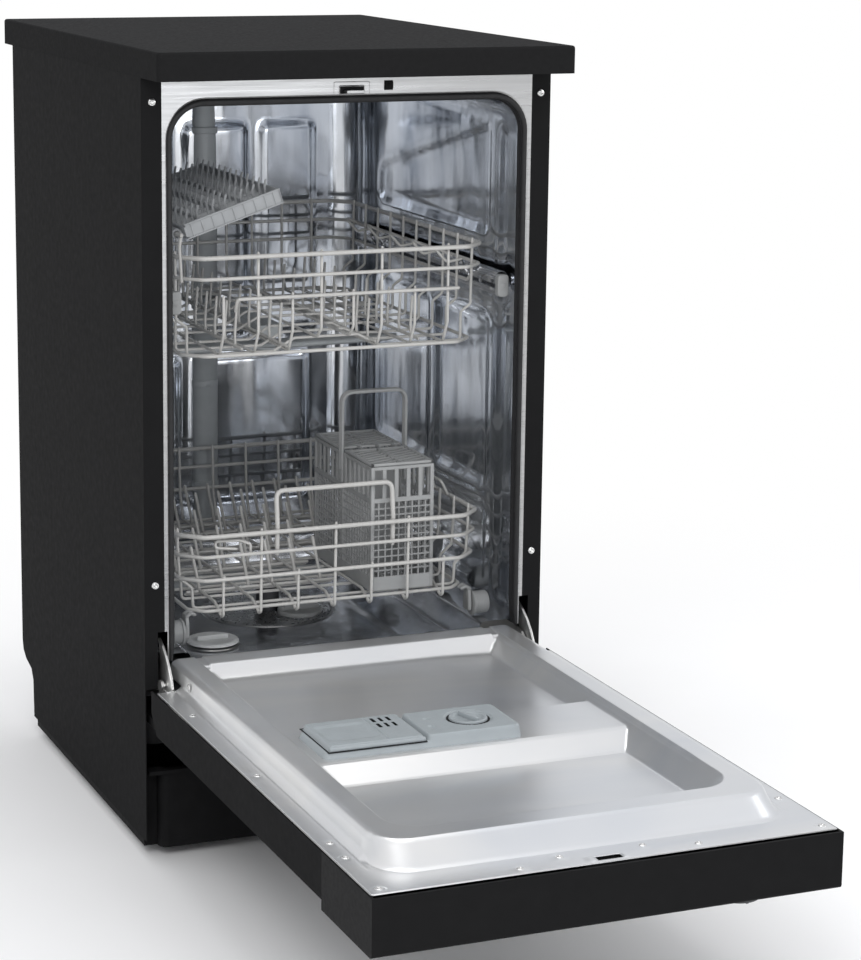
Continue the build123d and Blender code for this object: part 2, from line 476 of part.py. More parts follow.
# lower rack
LH, LC = 171.0, 22.0
LZ = 249.0
l_rails = [(334.0, 2.5), (312.0, 2.2), (286.0, 2.2), (LZ, 2.0)]
hn = [cx(RF + 8, 376, 2.2, -68.2, 68.2), cz(-66, RF + 8, 2.2, 337, 373.7), cz(66, RF + 8, 2.2, 337, 373.7)]
save("lower_rack_walls", rack_walls(LH, LC, l_rails, 334, 247), hn)
lfx = [-140, -112, -84, -56, -28, 0, 28, 56, 84, 112, 140]
lfy = [-180, -140, -100, -60, -20, 20, 60, 100, 140, 180]
lt = []
for x in (-126, -98, -70, -42, -14, 14):
    for y in (-120, -40, 40, 120, 160):
        lt.append(cz(x, y, 1.6, LZ + 5.3, 302))
for x in (42, 70, 98, 126):
    for y in (40, 120, 160):
        lt.append(cz(x, y, 1.6, LZ + 5.3, 302))
save("lower_rack_floor", floor_wires(LH, LZ, lfx, lfy, 1.6, 2.0), lt)
# wheel carriers: one each side with four stub axles
WY = (-186.0, -84.0, 70.0, 172.0)
WZ = TRACK + 0.3 + WHEEL_R + 0.4
def carrier(s):
    parts = []
    for y in WY:
        parts.append(fuse(bx(s * 160.5, s * 164.5, y - 9, y + 9, 219.5, LZ - 2.05), bx(s * 160.5, s * 173, y - 9, y + 9, 244.6, LZ - 2.05),
                          cx(y, WZ, 3.6, s * 164.5, s * 183.2), cx(y, WZ, 5.4, s * 183.2, s * 184.6)))
    return parts
save("wheel_carriers", carrier(-1), carrier(1))
def wheel(s, y):
    w = cx(y, WZ, WHEEL_R - 0.4, s * 168, s * 183) - cx(y, WZ, 11.0, s * 173, s * 185)
    w = fuse(w, cx(y, WZ, WHEEL_R + 0.4, s * 165.2, s * 168), cx(y, WZ, 6.0, s * 168, s * 182.6))
    for k in range(3):
        w = fuse(w, Pos(s * 177.5, y, WZ) * Rot(60 * k, 0, 0) * Box(9, 1.6, 22.6))
    return w - cx(y, WZ, 3.8, s * 160, s * 190)
for i, y in enumerate(WY):
    save(f"wheels_row_{i + 1}", wheel(-1, y), wheel(1, y))

# cutlery basket at the front right of the lower rack
BX0, BX1, BY0, BY1, BZ0, BZ1 = 44.0, 117.0, -195.0, -22.0, LZ + 5.4, 392.0
bk = bx(BX0, BX1, BY0, BY1, BZ0, BZ1) - bx(BX0 + 2, BX1 - 2, BY0 + 2, BY1 - 2, BZ0 + 2, BZ1 + 1)
for k in range(7):
    y = BY0 + 14 + k * 21.6
    bk -= bx(BX0 - 1, BX1 + 1, y, y + 15, BZ0 + 26, BZ1 - 12)
for k in range(3):
    x = BX0 + 10 + k * 20.5
    bk -= bx(x, x + 13, BY0 - 1, BY1 + 1, BZ0 + 26, BZ1 - 22)
bl = bx(BX0, BX1, BY0, BY1, BZ1, BZ1 + 3.5)
for k in range(8):
    for i in range(3):
        bl -= bx(BX0 + 8 + i * 21, BX0 + 8 + i * 21 + 13, BY0 + 10 + k * 20, BY0 + 10 + k * 20 + 11, BZ1 - 1, BZ1 + 5)
HM = (BY0 + BY1) / 2
LIDZ = BZ1 + 1.75
bl = bl - bx(BX1 - 6, BX1 + 1, HM - 7, HM + 7, BZ1 - 1, BZ1 + 5)
bl = fuse(bl, cyy(BX1, LIDZ, 1.75, BY0, HM - 7), cyy(BX1, LIDZ, 1.75, HM + 7, BY1))
bl = bl - cyy(BX1, LIDZ, 1.25, BY0 - 1, BY0 + 8) - cyy(BX1, LIDZ, 1.25, BY1 - 8, BY1 + 1)
save("basket_lid", bl)
# lugs with the pins that the basket lid turns on
for e, d in ((BY0, -1), (BY1, 1)):
    bk = fuse(bk, bx(BX1 - 8, BX1 + 2.5, e + d * 0.3, e + d * 3.2, BZ1 - 14, BZ1 + 4.5), bx(BX1 - 8, BX1 - 0.5, e - d * 1, e + d * 1, BZ1 - 14, BZ1 - 4),
              cyy(BX1, LIDZ, 1.0, e + d * 1, e - d * 6))
bh = fuse(bx(BX0 - 2.8, BX0 - 0.2, HM - 5, HM + 5, 360, 462), bx(BX1 + 0.2, BX1 + 2.8, HM - 5, HM + 5, 360, 462), bx(BX0 - 2.8, BX1 + 2.8, HM - 5, HM + 5, 459, 462))
bh = fillet(bh.edges().filter_by(Axis.Y).group_by(Axis.Z)[-1], 2.5)
save("cutlery_basket", bk, bh)

# ---------------------------------------------------------------- spray arms
def arm(z0, z1, ang):
    a = bx(-ARM_R, ARM_R, -17, 17, z0, z1)
    a = fillet(a.edges().filter_by(Axis.Z), 15)
    a = fuse(a, Cylinder(26, z1 - z0).moved(Location((0, 0, (z0 + z1) / 2))))
    a = a - Cylinder(ARM_HUB, 60).moved(Location((0, 0, (z0 + z1) / 2)))
    for k, x in enumerate((50, 75, 100, 125, 145)):
        for s in (-1, 1):
            a -= Cylinder(2.2, 8).moved(Location((s * x, s * (4 - 2 * k), z1)))
    return Pos(0, ARM_Y, 0) * Rot(0, 0, ang) * a
ARM_HUB = 13.5
save("lower_spray_arm", arm(221, 232, 0))
ARM_HUB = 9.4
save("upper_spray_arm", arm(489, 500, 0))
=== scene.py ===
import bpy, bmesh, json, math
import numpy as np
from mathutils import Vector, Matrix, Euler


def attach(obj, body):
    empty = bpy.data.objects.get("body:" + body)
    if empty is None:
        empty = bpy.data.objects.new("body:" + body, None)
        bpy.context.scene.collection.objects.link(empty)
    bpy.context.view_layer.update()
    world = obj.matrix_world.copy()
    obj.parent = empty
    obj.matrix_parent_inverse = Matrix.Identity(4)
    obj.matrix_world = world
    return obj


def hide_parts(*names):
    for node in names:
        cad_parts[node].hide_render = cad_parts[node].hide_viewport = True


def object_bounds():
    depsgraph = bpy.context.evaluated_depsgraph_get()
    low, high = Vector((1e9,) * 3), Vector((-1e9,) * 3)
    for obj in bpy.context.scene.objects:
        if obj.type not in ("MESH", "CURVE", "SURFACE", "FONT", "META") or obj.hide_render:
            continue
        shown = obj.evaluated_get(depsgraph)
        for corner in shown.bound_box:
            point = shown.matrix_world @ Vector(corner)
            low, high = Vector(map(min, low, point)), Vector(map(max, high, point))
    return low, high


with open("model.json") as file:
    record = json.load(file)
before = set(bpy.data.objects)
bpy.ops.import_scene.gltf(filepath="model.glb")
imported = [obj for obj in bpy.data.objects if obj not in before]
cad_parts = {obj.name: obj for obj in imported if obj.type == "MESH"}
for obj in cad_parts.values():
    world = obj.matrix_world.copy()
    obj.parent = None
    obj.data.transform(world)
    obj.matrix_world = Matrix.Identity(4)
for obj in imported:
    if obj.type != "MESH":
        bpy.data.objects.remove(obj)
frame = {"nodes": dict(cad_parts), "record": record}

LO0, HI0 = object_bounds()
scene = bpy.context.scene
NODES = frame["nodes"]
CY = 285.0                      # the drawing's y is shifted by this much


def V(p):
    return (p[0] / 1000.0, (p[1] + CY) / 1000.0, p[2] / 1000.0)


# ------------------------------------------------------------------ camera
cam_d = bpy.data.cameras.new("camera")
cam = bpy.data.objects.new("camera", cam_d)
scene.collection.objects.link(cam)
scene.camera = cam
rv = Vector((0.19516588, -0.02827713, 0.38635277))
Rm = Matrix.Rotation(rv.length, 3, rv.normalized())
Bm = Matrix(((1, 0, 0), (0, 0, -1), (0, 1, 0)))
M = Bm @ Rm
cx_, cy_, cz_ = Vector(M[0]), -Vector(M[1]), -Vector(M[2])
M4 = Matrix((cx_, cy_, cz_)).transposed().to_4x4()
M4.translation = Vector((-1.00817095, -2.516132, 1.0233052))
cam.matrix_world = M4
cam_d.sensor_width = 36.0
cam_d.lens = 2688.7628 / 960 * 36.0
cam_d.shift_x = (430.5 - 385.0) / 960
cam_d.shift_y = (400.0 - 480.0) / 960
cam_d.clip_start, cam_d.clip_end = 0.05, 60

# ------------------------------------------------------------------ light
scene.view_settings.view_transform = "Standard"
world = bpy.data.worlds.new("studio")
scene.world = world
world.use_nodes = True
wn, wl = world.node_tree.nodes, world.node_tree.links
wn.clear()
wo = wn.new("ShaderNodeOutputWorld")
wb = wn.new("ShaderNodeBackground")
wt = wn.new("ShaderNodeTexCoord")
wsep = wn.new("ShaderNodeSeparateXYZ")
wl.new(wt.outputs["Generated"], wsep.inputs["Vector"])
wr = wn.new("ShaderNodeValToRGB")
wr.color_ramp.elements[0].position = 0.0
wr.color_ramp.elements[0].color = (0.62, 0.63, 0.66, 1)
wr.color_ramp.elements[1].position = 1.0
wr.color_ramp.elements[1].color = (0.98, 0.98, 1.0, 1)
e = wr.color_ramp.elements.new(0.62)
e.color = (0.86, 0.87, 0.89, 1)
wm = wn.new("ShaderNodeMapRange")
wm.inputs["From Min"].default_value = -1
wl.new(wsep.outputs["Z"], wm.inputs["Value"])
wl.new(wm.outputs["Result"], wr.inputs["Fac"])
wl.new(wr.outputs["Color"], wb.inputs["Color"])
wb.inputs["Strength"].default_value = 0.92
wb2 = wn.new("ShaderNodeBackground")
wb2.inputs["Color"].default_value = (1, 1, 1, 1)
wb2.inputs["Strength"].default_value = 1.0
wlp = wn.new("ShaderNodeLightPath")
wmx = wn.new("ShaderNodeMixShader")
wl.new(wlp.outputs["Is Camera Ray"], wmx.inputs["Fac"])
wl.new(wb.outputs["Background"], wmx.inputs[1])
wl.new(wb2.outputs["Background"], wmx.inputs[2])
wl.new(wmx.outputs["Shader"], wo.inputs["Surface"])


def area(name, loc, target, size, power, col=(1, 1, 1)):
    d = bpy.data.lights.new(name, "AREA")
    d.shape = "RECTANGLE"
    d.size, d.size_y = size
    d.energy = power
    d.color = col
    o = bpy.data.objects.new(name, d)
    scene.collection.objects.link(o)
    o.location = loc
    o.rotation_mode = "QUATERNION"
    o.rotation_quaternion = (Vector(target) - Vector(loc)).to_track_quat("-Z", "Y")
    return o


area("key", (-1.6, -2.4, 2.6), (0, 0.1, 0.45), (1.4, 1.4), 34)
area("right_fill", (2.4, -1.2, 1.5), (0, 0.1, 0.4), (1.2, 1.6), 14)
area("front_low", (0.4, -3.0, 0.9), (0, 0.3, 0.5), (1.6, 0.8), 12, (0.93, 0.96, 1.0))
area("top", (0.0, 0.2, 3.0), (0, 0.1, 0.5), (1.6, 1.6), 14)

# ------------------------------------------------------------------ materials
MATS = {}


def node(nt, kind, **vals):
    n = nt.nodes.new(kind)
    for k, v in vals.items():
        k = k.replace("_", " ")
        n.inputs[k].default_value = v
    return n


def mat(name, base, rough=0.5, metal=0.0, var=0.08, vscale=(40, 40, 40), rvar=0.08, rscale=(150, 150, 150),
        bump=0.0, bscale=(900, 900, 900), spec=0.5, second=None, sfac=(0.45, 0.62), sscale=(6, 6, 6), wave=0.0, wscale=(7, 7, 7),
        coat=0.0, aniso=0.0, edge=0.0):
    """One procedural finish: two noise layers for colour, one for roughness, one or two for the relief."""
    m = bpy.data.materials.new(name)
    m.use_nodes = True
    nt = m.node_tree
    L = nt.links.new
    b = nt.nodes["Principled BSDF"]
    b.inputs["Metallic"].default_value = metal
    b.inputs["Specular IOR Level"].default_value = spec
    if coat:
        b.inputs["Coat Weight"].default_value = coat
        b.inputs["Coat Roughness"].default_value = 0.25
    if aniso:
        b.inputs["Anisotropic"].default_value = aniso
    tc = nt.nodes.new("ShaderNodeTexCoord")

    def noise(scale, detail=3.0, dist=0.0):
        mp = nt.nodes.new("ShaderNodeMapping")
        mp.inputs["Scale"].default_value = scale
        L(tc.outputs["Object"], mp.inputs["Vector"])
        n = nt.nodes.new("ShaderNodeTexNoise")
        n.inputs["Scale"].default_value = 1.0
        n.inputs["Detail"].default_value = detail
        n.inputs["Distortion"].default_value = dist
        L(mp.outputs["Vector"], n.inputs["Vector"])
        return n.outputs["Fac"]

    ramp = nt.nodes.new("ShaderNodeValToRGB")
    e0, e1 = ramp.color_ramp.elements
    e0.position, e1.position = 0.3, 0.7
    e0.color = (*[max(0, c * (1 - var)) for c in base], 1)
    e1.color = (*[min(1, c * (1 + var)) for c in base], 1)
    L(noise(vscale), ramp.inputs["Fac"])
    col = ramp.outputs["Color"]
    if second:
        r2 = nt.nodes.new("ShaderNodeValToRGB")
        r2.color_ramp.elements[0].position, r2.color_ramp.elements[1].position = sfac
        r2.color_ramp.elements[0].color = (0, 0, 0, 1)
        r2.color_ramp.elements[1].color = (1, 1, 1, 1)
        L(noise(sscale, 3.0, 0.8), r2.inputs["Fac"])
        mx = nt.nodes.new("ShaderNodeMix")
        mx.data_type = "RGBA"
        L(r2.outputs["Color"], mx.inputs["Factor"])
        L(col, mx.inputs[6])
        mx.inputs[7].default_value = (*second, 1)
        col = mx.outputs[2]
    # edge option: lighter colour on convex edges from pointiness, a painted edge highlight; no material here sets it
    if edge:
        geo = nt.nodes.new("ShaderNodeNewGeometry")
        r3 = nt.nodes.new("ShaderNodeMapRange")
        r3.inputs["From Min"].default_value, r3.inputs["From Max"].default_value = 0.5, 0.62
        r3.inputs["To Min"].default_value, r3.inputs["To Max"].default_value = 0.0, edge
        L(geo.outputs["Pointiness"], r3.inputs["Value"])
        mx = nt.nodes.new("ShaderNodeMix")
        mx.data_type = "RGBA"
        L(r3.outputs["Result"], mx.inputs["Factor"])
        L(col, mx.inputs[6])
        mx.inputs[7].default_value = (*[min(1, c * 1.6 + 0.02) for c in base], 1)
        col = mx.outputs[2]
    L(col, b.inputs["Base Color"])
    mr = nt.nodes.new("ShaderNodeMapRange")
    mr.inputs["From Min"].default_value, mr.inputs["From Max"].default_value = 0.3, 0.7
    mr.inputs["To Min"].default_value, mr.inputs["To Max"].default_value = max(0.03, rough - rvar), min(1, rough + rvar)
    L(noise(rscale), mr.inputs["Value"])
    L(mr.outputs["Result"], b.inputs["Roughness"])
    last = None
    if wave:
        bw = nt.nodes.new("ShaderNodeBump")
        bw.inputs["Strength"].default_value = 1.0
        bw.inputs["Distance"].default_value = wave
        L(noise(wscale, 2.0), bw.inputs["Height"])
        last = bw
    if bump:
        bb = nt.nodes.new("ShaderNodeBump")
        bb.inputs["Strength"].default_value = 1.0
        bb.inputs["Distance"].default_value = bump
        L(noise(bscale, 2.0), bb.inputs["Height"])
        if last:
            L(last.outputs["Normal"], bb.inputs["Normal"])
        last = bb
    if last:
        L(last.outputs["Normal"], b.inputs["Normal"])
    MATS[name] = m
    return m


m_black = mat("black_paint", (0.0130, 0.0130, 0.0134), 0.55, 0, 0.05, (30, 30, 30), 0.05, (120, 120, 120), 0.00001, (700, 700, 700), spec=0.010)
m_top = mat("worktop_black", (0.0150, 0.0150, 0.0154), 0.55, 0, 0.06, (220, 220, 220), 0.06, (300, 300, 300), 0.00003, (900, 900, 900), spec=0.006)
m_bplastic = mat("black_plastic", (0.0115, 0.0115, 0.0120), 0.56, 0, 0.10, (60, 60, 60), 0.07, (200, 200, 200), 0.00003, (900, 900, 900), spec=0.03)
m_panel = mat("panel_plastic", (0.0112, 0.0112, 0.0116), 0.46, 0, 0.05, (60, 60, 60), 0.05, (200, 200, 200), 0.00001, (900, 900, 900), spec=0.03)
m_frame = mat("brushed_frame", (0.44, 0.44, 0.44), 0.33, 1.0, 0.07, (6, 60, 260), 0.08, (10, 60, 500), 0.000008, (14, 200, 1400))
m_liner = mat("liner_steel", (0.76, 0.76, 0.755), 0.31, 0.80, 0.02, (2, 14, 14), 0.03, (3, 20, 20), wave=0.0004, wscale=(3.5, 5, 5), second=(0.64, 0.66, 0.69), sfac=(0.35, 0.75), sscale=(2.4, 7, 4))
m_tub = mat("tub_steel", (0.73, 0.75, 0.78), 0.12, 1.0, 0.10, (26, 26, 5), 0.05, (60, 60, 14), 0.00001, (600, 600, 600), wave=0.0030, wscale=(13, 13, 4), second=(0.52, 0.55, 0.60), sfac=(0.42, 0.66), sscale=(9, 9, 3))
m_tubfloor = mat("tub_floor_steel", (0.62, 0.63, 0.65), 0.2, 1.0, 0.1, (30, 30, 10), 0.06, (60, 60, 60), 0.00001, (600, 600, 600), wave=0.002, wscale=(14, 14, 14))
m_galv = mat("galvanised", (0.56, 0.56, 0.55), 0.34, 0.95, 0.04, (70, 70, 70), 0.06, (160, 160, 160), 0.00001, (900, 900, 900))
m_rear = mat("rear_sheet", (0.40, 0.41, 0.42), 0.40, 0.9, 0.05, (45, 45, 45), 0.06, (120, 120, 120), 0.00001, (900, 900, 900))
m_rubber = mat("gasket_rubber", (0.014, 0.014, 0.015), 0.55, 0, 0.15, (80, 80, 80), 0.1, (300, 300, 300), 0.00005, (1200, 1200, 1200), spec=0.35)
m_grey = mat("grey_plastic", (0.275, 0.280, 0.280), 0.42, 0, 0.05, (60, 60, 60), 0.06, (200, 200, 200), 0.00003, (1000, 1000, 1000), spec=0.4)
m_basket = mat("basket_plastic", (0.30, 0.305, 0.305), 0.42, 0, 0.06, (50, 50, 50), 0.06, (200, 200, 200), 0.00003, (1000, 1000, 1000), spec=0.4)
m_comb = mat("comb_plastic", (0.325, 0.335, 0.345), 0.46, 0, 0.06, (50, 50, 50), 0.06, (200, 200, 200), 0.00003, (1000, 1000, 1000), spec=0.35)
m_disp = mat("dispenser_plastic", (0.305, 0.335, 0.35), 0.40, 0, 0.04, (50, 50, 50), 0.05, (220, 220, 220), 0.00003, (1400, 1400, 1400), spec=0.45)
m_wire = mat("wire_coating", (0.485, 0.478, 0.460), 0.30, 0, 0.02, (60, 60, 60), 0.04, (120, 120, 120), 0.00001, (500, 500, 500), spec=0.55)
m_chrome = mat("chrome_rail", (0.66, 0.67, 0.69), 0.14, 1.0, 0.05, (40, 8, 40), 0.05, (300, 10, 300), 0.00001, (900, 60, 900))
m_arm = mat("arm_plastic", (0.40, 0.42, 0.43), 0.38, 0, 0.06, (50, 50, 50), 0.06, (200, 200, 200), 0.00002, (1000, 1000, 1000))
m_white = mat("white_plastic", (0.62, 0.63, 0.63), 0.42, 0, 0.04, (50, 50, 50), 0.06, (200, 200, 200), 0.00002, (900, 900, 900))
m_pump = mat("pump_dark", (0.05, 0.05, 0.055), 0.5, 0, 0.15, (60, 60, 60), 0.1, (200, 200, 200), 0.00003, (900, 900, 900))
m_block = mat("concrete_block", (0.22, 0.21, 0.20), 0.85, 0, 0.25, (120, 120, 120), 0.08, (200, 200, 200), 0.0003, (500, 500, 500))
m_screw = mat("screw_steel", (0.72, 0.72, 0.71), 0.24, 1.0, 0.06, (300, 300, 300), 0.08, (500, 500, 500), 0.00001, (2000, 2000, 2000))
m_board = mat("green_board", (0.02, 0.12, 0.05), 0.45, 0, 0.3, (150, 150, 150), 0.1, (300, 300, 300), 0.00005, (900, 900, 900))
m_button = mat("button_grey", (0.045, 0.046, 0.05), 0.4, 0, 0.08, (80, 80, 80), 0.08, (300, 300, 300), 0.00003, (1200, 1200, 1200))
m_filter = mat("filter_steel", (0.5, 0.5, 0.5), 0.3, 1.0, 0.1, (300, 300, 300), 0.08, (300, 300, 300), 0.0001, (1600, 1600, 1600))
# near-black finish for painted shade: used for dark fills where openings and gaps would be in shade
m_painted_shade = mat("painted_shade_recess", (0.012, 0.012, 0.013), 0.7, 0, 0.2, (60, 60, 60), 0.1, (200, 200, 200), spec=0.2)

SLOT_MAT = {"black_paint": m_black, "worktop_black": m_top, "black_plastic": m_bplastic, "tub_steel": m_tub, "frame_steel": m_frame,
            "galvanised": m_galv, "gasket_rubber": m_rubber, "grey_plastic": m_grey, "dispenser_plastic": m_disp, "wire_coating": m_wire,
            "chrome_steel": m_chrome, "arm_plastic": m_arm, "white_plastic": m_white, "pump_dark": m_pump, "concrete_block": m_block,
            "screw_steel": m_screw, "green_board": m_board, "button_grey": m_button, "filter_steel": m_filter}


def paint(name, m):
    o = NODES[name]
    o.data.materials.clear()
    o.data.materials.append(m)


for s_ in frame["record"]["subparts"]:
    n_ = s_.get("node")
    if n_ in NODES:
        paint(n_, SLOT_MAT.get(s_.get("material_slot") or s_.get("slot"), m_grey))
m_tank = mat("tank_plastic", (0.10, 0.10, 0.105), 0.5, 0, 0.06, (50, 50, 50), 0.06, (200, 200, 200), 0.00002, (900, 900, 900), spec=0.3)
paint("salt_tank", m_tank)
paint("rear_panel", m_rear)
paint("control_panel", m_panel)

# ------------------------------------------------------------------ mesh helpers


class G:
    """Collects vertices and faces, in drawing millimetres."""

    def __init__(self):
        self.v, self.f = [], []

    def add(self, verts, faces):
        k = len(self.v)
        self.v += [tuple(map(float, p)) for p in verts]
        self.f += [tuple(i + k for i in q) for q in faces]
        return self

    def loft(self, rows, closed=False, caps=(True, True)):
        """rows of equal length; closed joins the last point of a row to its first."""
        n = len(rows[0])
        verts = [p for r in rows for p in r]
        faces = []
        m = n if closed else n - 1
        for i in range(len(rows) - 1):
            for j in range(m):
                a, b = i * n + j, i * n + (j + 1) % n
                faces.append((a, b, b + n, a + n))
        if closed:
            if caps[0]:
                faces.append(tuple(range(n))[::-1])
            if caps[1]:
                faces.append(tuple((len(rows) - 1) * n + j for j in range(n)))
        return self.add(verts, faces)

    def tube(self, path, r, sides=8, closed=False, end=True):
        P = np.array(path, float)
        if closed:
            T = np.roll(P, -1, 0) - np.roll(P, 1, 0)
        else:
            T = np.gradient(P, axis=0)
        T /= np.linalg.norm(T, axis=1)[:, None] + 1e-12
        up = np.array([0, 0, 1.0]) if abs(T[0][2]) < 0.9 else np.array([1.0, 0, 0])
        u = np.cross(T[0], up)
        u /= np.linalg.norm(u)
        rows = []
        us = []
        for i in range(len(P)):
            if i:
                u = u - T[i] * np.dot(u, T[i])
                u /= np.linalg.norm(u) + 1e-12
            us.append(u)
        for i in range(len(P)):
            w = np.cross(T[i], us[i])
            rows.append([P[i] + r * (math.cos(a) * us[i] + math.sin(a) * w) for a in np.arange(sides) * 2 * math.pi / sides])
        if closed:
            rows.append(rows[0])
            return self.loft(rows, True, (False, False))
        if end:
            for k, sg in ((0, -1), (-1, 1)):
                c, t, row = P[k], T[k], rows[k]
                ex = [c + (np.array(q) - c) * 0.62 + t * sg * r * 0.75 for q in row]
                if k == 0:
                    rows = [ex] + rows
                else:
                    rows = rows + [ex]
        return self.loft(rows, True, (True, True))

    def rev(self, prof, centre, axis="z", n=32, close=False):
        """prof: (radius, along) pairs turned about an axis through centre."""
        rows = []
        for k in range(n + 1):
            a = 2 * math.pi * (k % n) / n
            row = []
            for r, h in prof:
                c, s = r * math.cos(a), r * math.sin(a)
                d = {"z": (c, s, h), "x": (h, c, s), "y": (c, h, s)}[axis]
                row.append((centre[0] + d[0], centre[1] + d[1], centre[2] + d[2]))
            rows.append(row)
        if close:
            return self.loft([r + [r[0]] for r in rows])
        return self.loft(rows)

    def box(self, x0, x1, y0, y1, z0, z1, r=0.6, seg=2, M=None):
        bm = bmesh.new()
        bmesh.ops.create_cube(bm, size=1.0)
        for v in bm.verts:
            v.co = Vector(((x0 + x1) / 2 + v.co.x * (x1 - x0), (y0 + y1) / 2 + v.co.y * (y1 - y0), (z0 + z1) / 2 + v.co.z * (z1 - z0)))
        r = min(r, 0.45 * min(abs(x1 - x0), abs(y1 - y0), abs(z1 - z0)))
        if r > 0.02:
            bmesh.ops.bevel(bm, geom=list(bm.edges), offset=r, segments=seg, affect="EDGES", profile=0.5)
        return self.take(bm, M)

    def take(self, bm, M=None):
        bm.verts.index_update()
        vs = [(M @ v.co if M else v.co) for v in bm.verts]
        self.add([tuple(v) for v in vs], [tuple(v.index for v in f.verts) for f in bm.faces])
        bm.free()
        return self

    def prism(self, pts, a0, a1, axis="z", r=0.5, seg=2, M=None):
        """Polygon extruded along an axis with rounded edges. pts are (x, y), (y, z) or (x, z)."""
        bm = bmesh.new()

        def P(p, a):
            return {"z": (p[0], p[1], a), "x": (a, p[0], p[1]), "y": (p[0], a, p[1])}[axis]
        lo = [bm.verts.new(P(p, a0)) for p in pts]
        hi = [bm.verts.new(P(p, a1)) for p in pts]
        n = len(pts)
        f0, f1 = bm.faces.new(lo), bm.faces.new(hi[::-1])
        for i in range(n):
            bm.faces.new((lo[(i + 1) % n], lo[i], hi[i], hi[(i + 1) % n]))
        bmesh.ops.recalc_face_normals(bm, faces=list(bm.faces))
        if r > 0.02:
            ed = [e for e in bm.edges if e in f0.edges or e in f1.edges]
            ed = list(set(f0.edges) | set(f1.edges))
            bmesh.ops.bevel(bm, geom=ed, offset=r, segments=seg, affect="EDGES", profile=0.5)
        return self.take(bm, M)

    def obj(self, name, m, body, rep=(), slot=None, angle=40, thick=0.0, weld=True, recalc=True):
        me = bpy.data.meshes.new(name)
        me.from_pydata([V(p) for p in self.v], [], self.f)
        bm = bmesh.new()
        bm.from_mesh(me)
        if weld:
            bmesh.ops.remove_doubles(bm, verts=list(bm.verts), dist=1e-6)
        if recalc:
            bmesh.ops.recalc_face_normals(bm, faces=list(bm.faces))
        bm.to_mesh(me)
        bm.free()
        me.materials.append(m)
        me.shade_smooth()
        me.set_sharp_from_angle(angle=math.radians(angle))
        o = bpy.data.objects.new(name, me)
        scene.collection.objects.link(o)
        if thick:
            md = o.modifiers.new("sheet", "SOLIDIFY")
            md.thickness = thick / 1000.0
            md.offset = -1
            md.use_even_offset = True
        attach(o, body)
        if rep:
            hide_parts(*rep)
        return o


def fil(pts, r, n=5, closed=False):
    """Polyline with its corners rounded."""
    P = [np.array(p, float) for p in pts]
    out = []
    N = len(P)
    rr = r if isinstance(r, (list, tuple)) else [r] * N
    for i in range(N):
        if not closed and i in (0, N - 1):
            out.append(P[i])
            continue
        a, b = P[i] - P[i - 1], P[(i + 1) % N] - P[i]
        la, lb = np.linalg.norm(a), np.linalg.norm(b)
        a, b = a / la, b / lb
        th = math.acos(max(-1, min(1, float(np.dot(a, b)))))
        t = min(rr[i] * math.tan(th / 2), 0.49 * la, 0.49 * lb)
        if th < 0.02 or t < 0.05:
            out.append(P[i])
            continue
        p0, p2 = P[i] - a * t, P[i] + b * t
        for k in range(n + 1):
            u = k / n
            out.append((1 - u) ** 2 * p0 + 2 * u * (1 - u) * P[i] + u * u * p2)
    return out


def ring(hw, y0, y1, z, ch, rad=9):
    """Closed wire ring with cut and rounded corners."""
    p = [(-hw + ch, y0, z), (hw - ch, y0, z), (hw, y0 + ch, z), (hw, y1 - ch, z), (hw - ch, y1, z), (-hw + ch, y1, z), (-hw, y1 - ch, z), (-hw, y0 + ch, z)]
    return fil(p, rad, 4, True)


def smax(a, b, k):
    h = np.clip(0.5 + 0.5 * (a - b) / k, 0, 1)
    return b * (1 - h) + a * h + k * h * (1 - h)


def smin(a, b, k):
    return -smax(-a, -b, k)


def grid(xs, ys, zf, keep=None):
    """Tensor grid of a height function; returns a G."""
    X, Y = np.meshgrid(xs, ys)
    Z = zf(X, Y)
    g = G()
    n = len(xs)
    verts = np.stack([X.ravel(), Y.ravel(), Z.ravel()], 1)
    faces = []
    for j in range(len(ys) - 1):
        for i in range(n - 1):
            if keep is None or keep((xs[i] + xs[i + 1]) / 2, (ys[j] + ys[j + 1]) / 2):
                a = j * n + i
                faces.append((a, a + 1, a + n + 1, a + n))
    g.v = [tuple(map(float, p)) for p in verts]
    g.f = faces
    return g


def steps(*parts):
    """Joined ranges: (start, stop, step), ..."""
    out = []
    for a, b, s in parts:
        n = max(1, int(round((b - a) / s)))
        out += list(np.linspace(a, b, n, endpoint=False))
    out.append(parts[-1][1])
    return np.array(out)


def sd_rect(x, y, hw, y0, y1, r):
    """Signed distance inside(-) / outside(+) a rounded rectangle |x|<=hw, y0..y1, rounded only at the y0 end."""
    cy, hh = (y0 + y1) / 2, (y1 - y0) / 2
    R = np.where(y < cy, r, 2.0)
    qx, qy = np.abs(x) - hw + R, np.abs(y - cy) - hh + R
    return np.minimum(np.maximum(qx, qy), 0) + np.hypot(np.maximum(qx, 0), np.maximum(qy, 0)) - R


# ------------------------------------------------------------------ door liner: one pressed sheet
FLG, RIM, LOW, SHELF, UPPER = 193.0, 214.0, 190.0, 206.5, 197.0
RH = 196.5


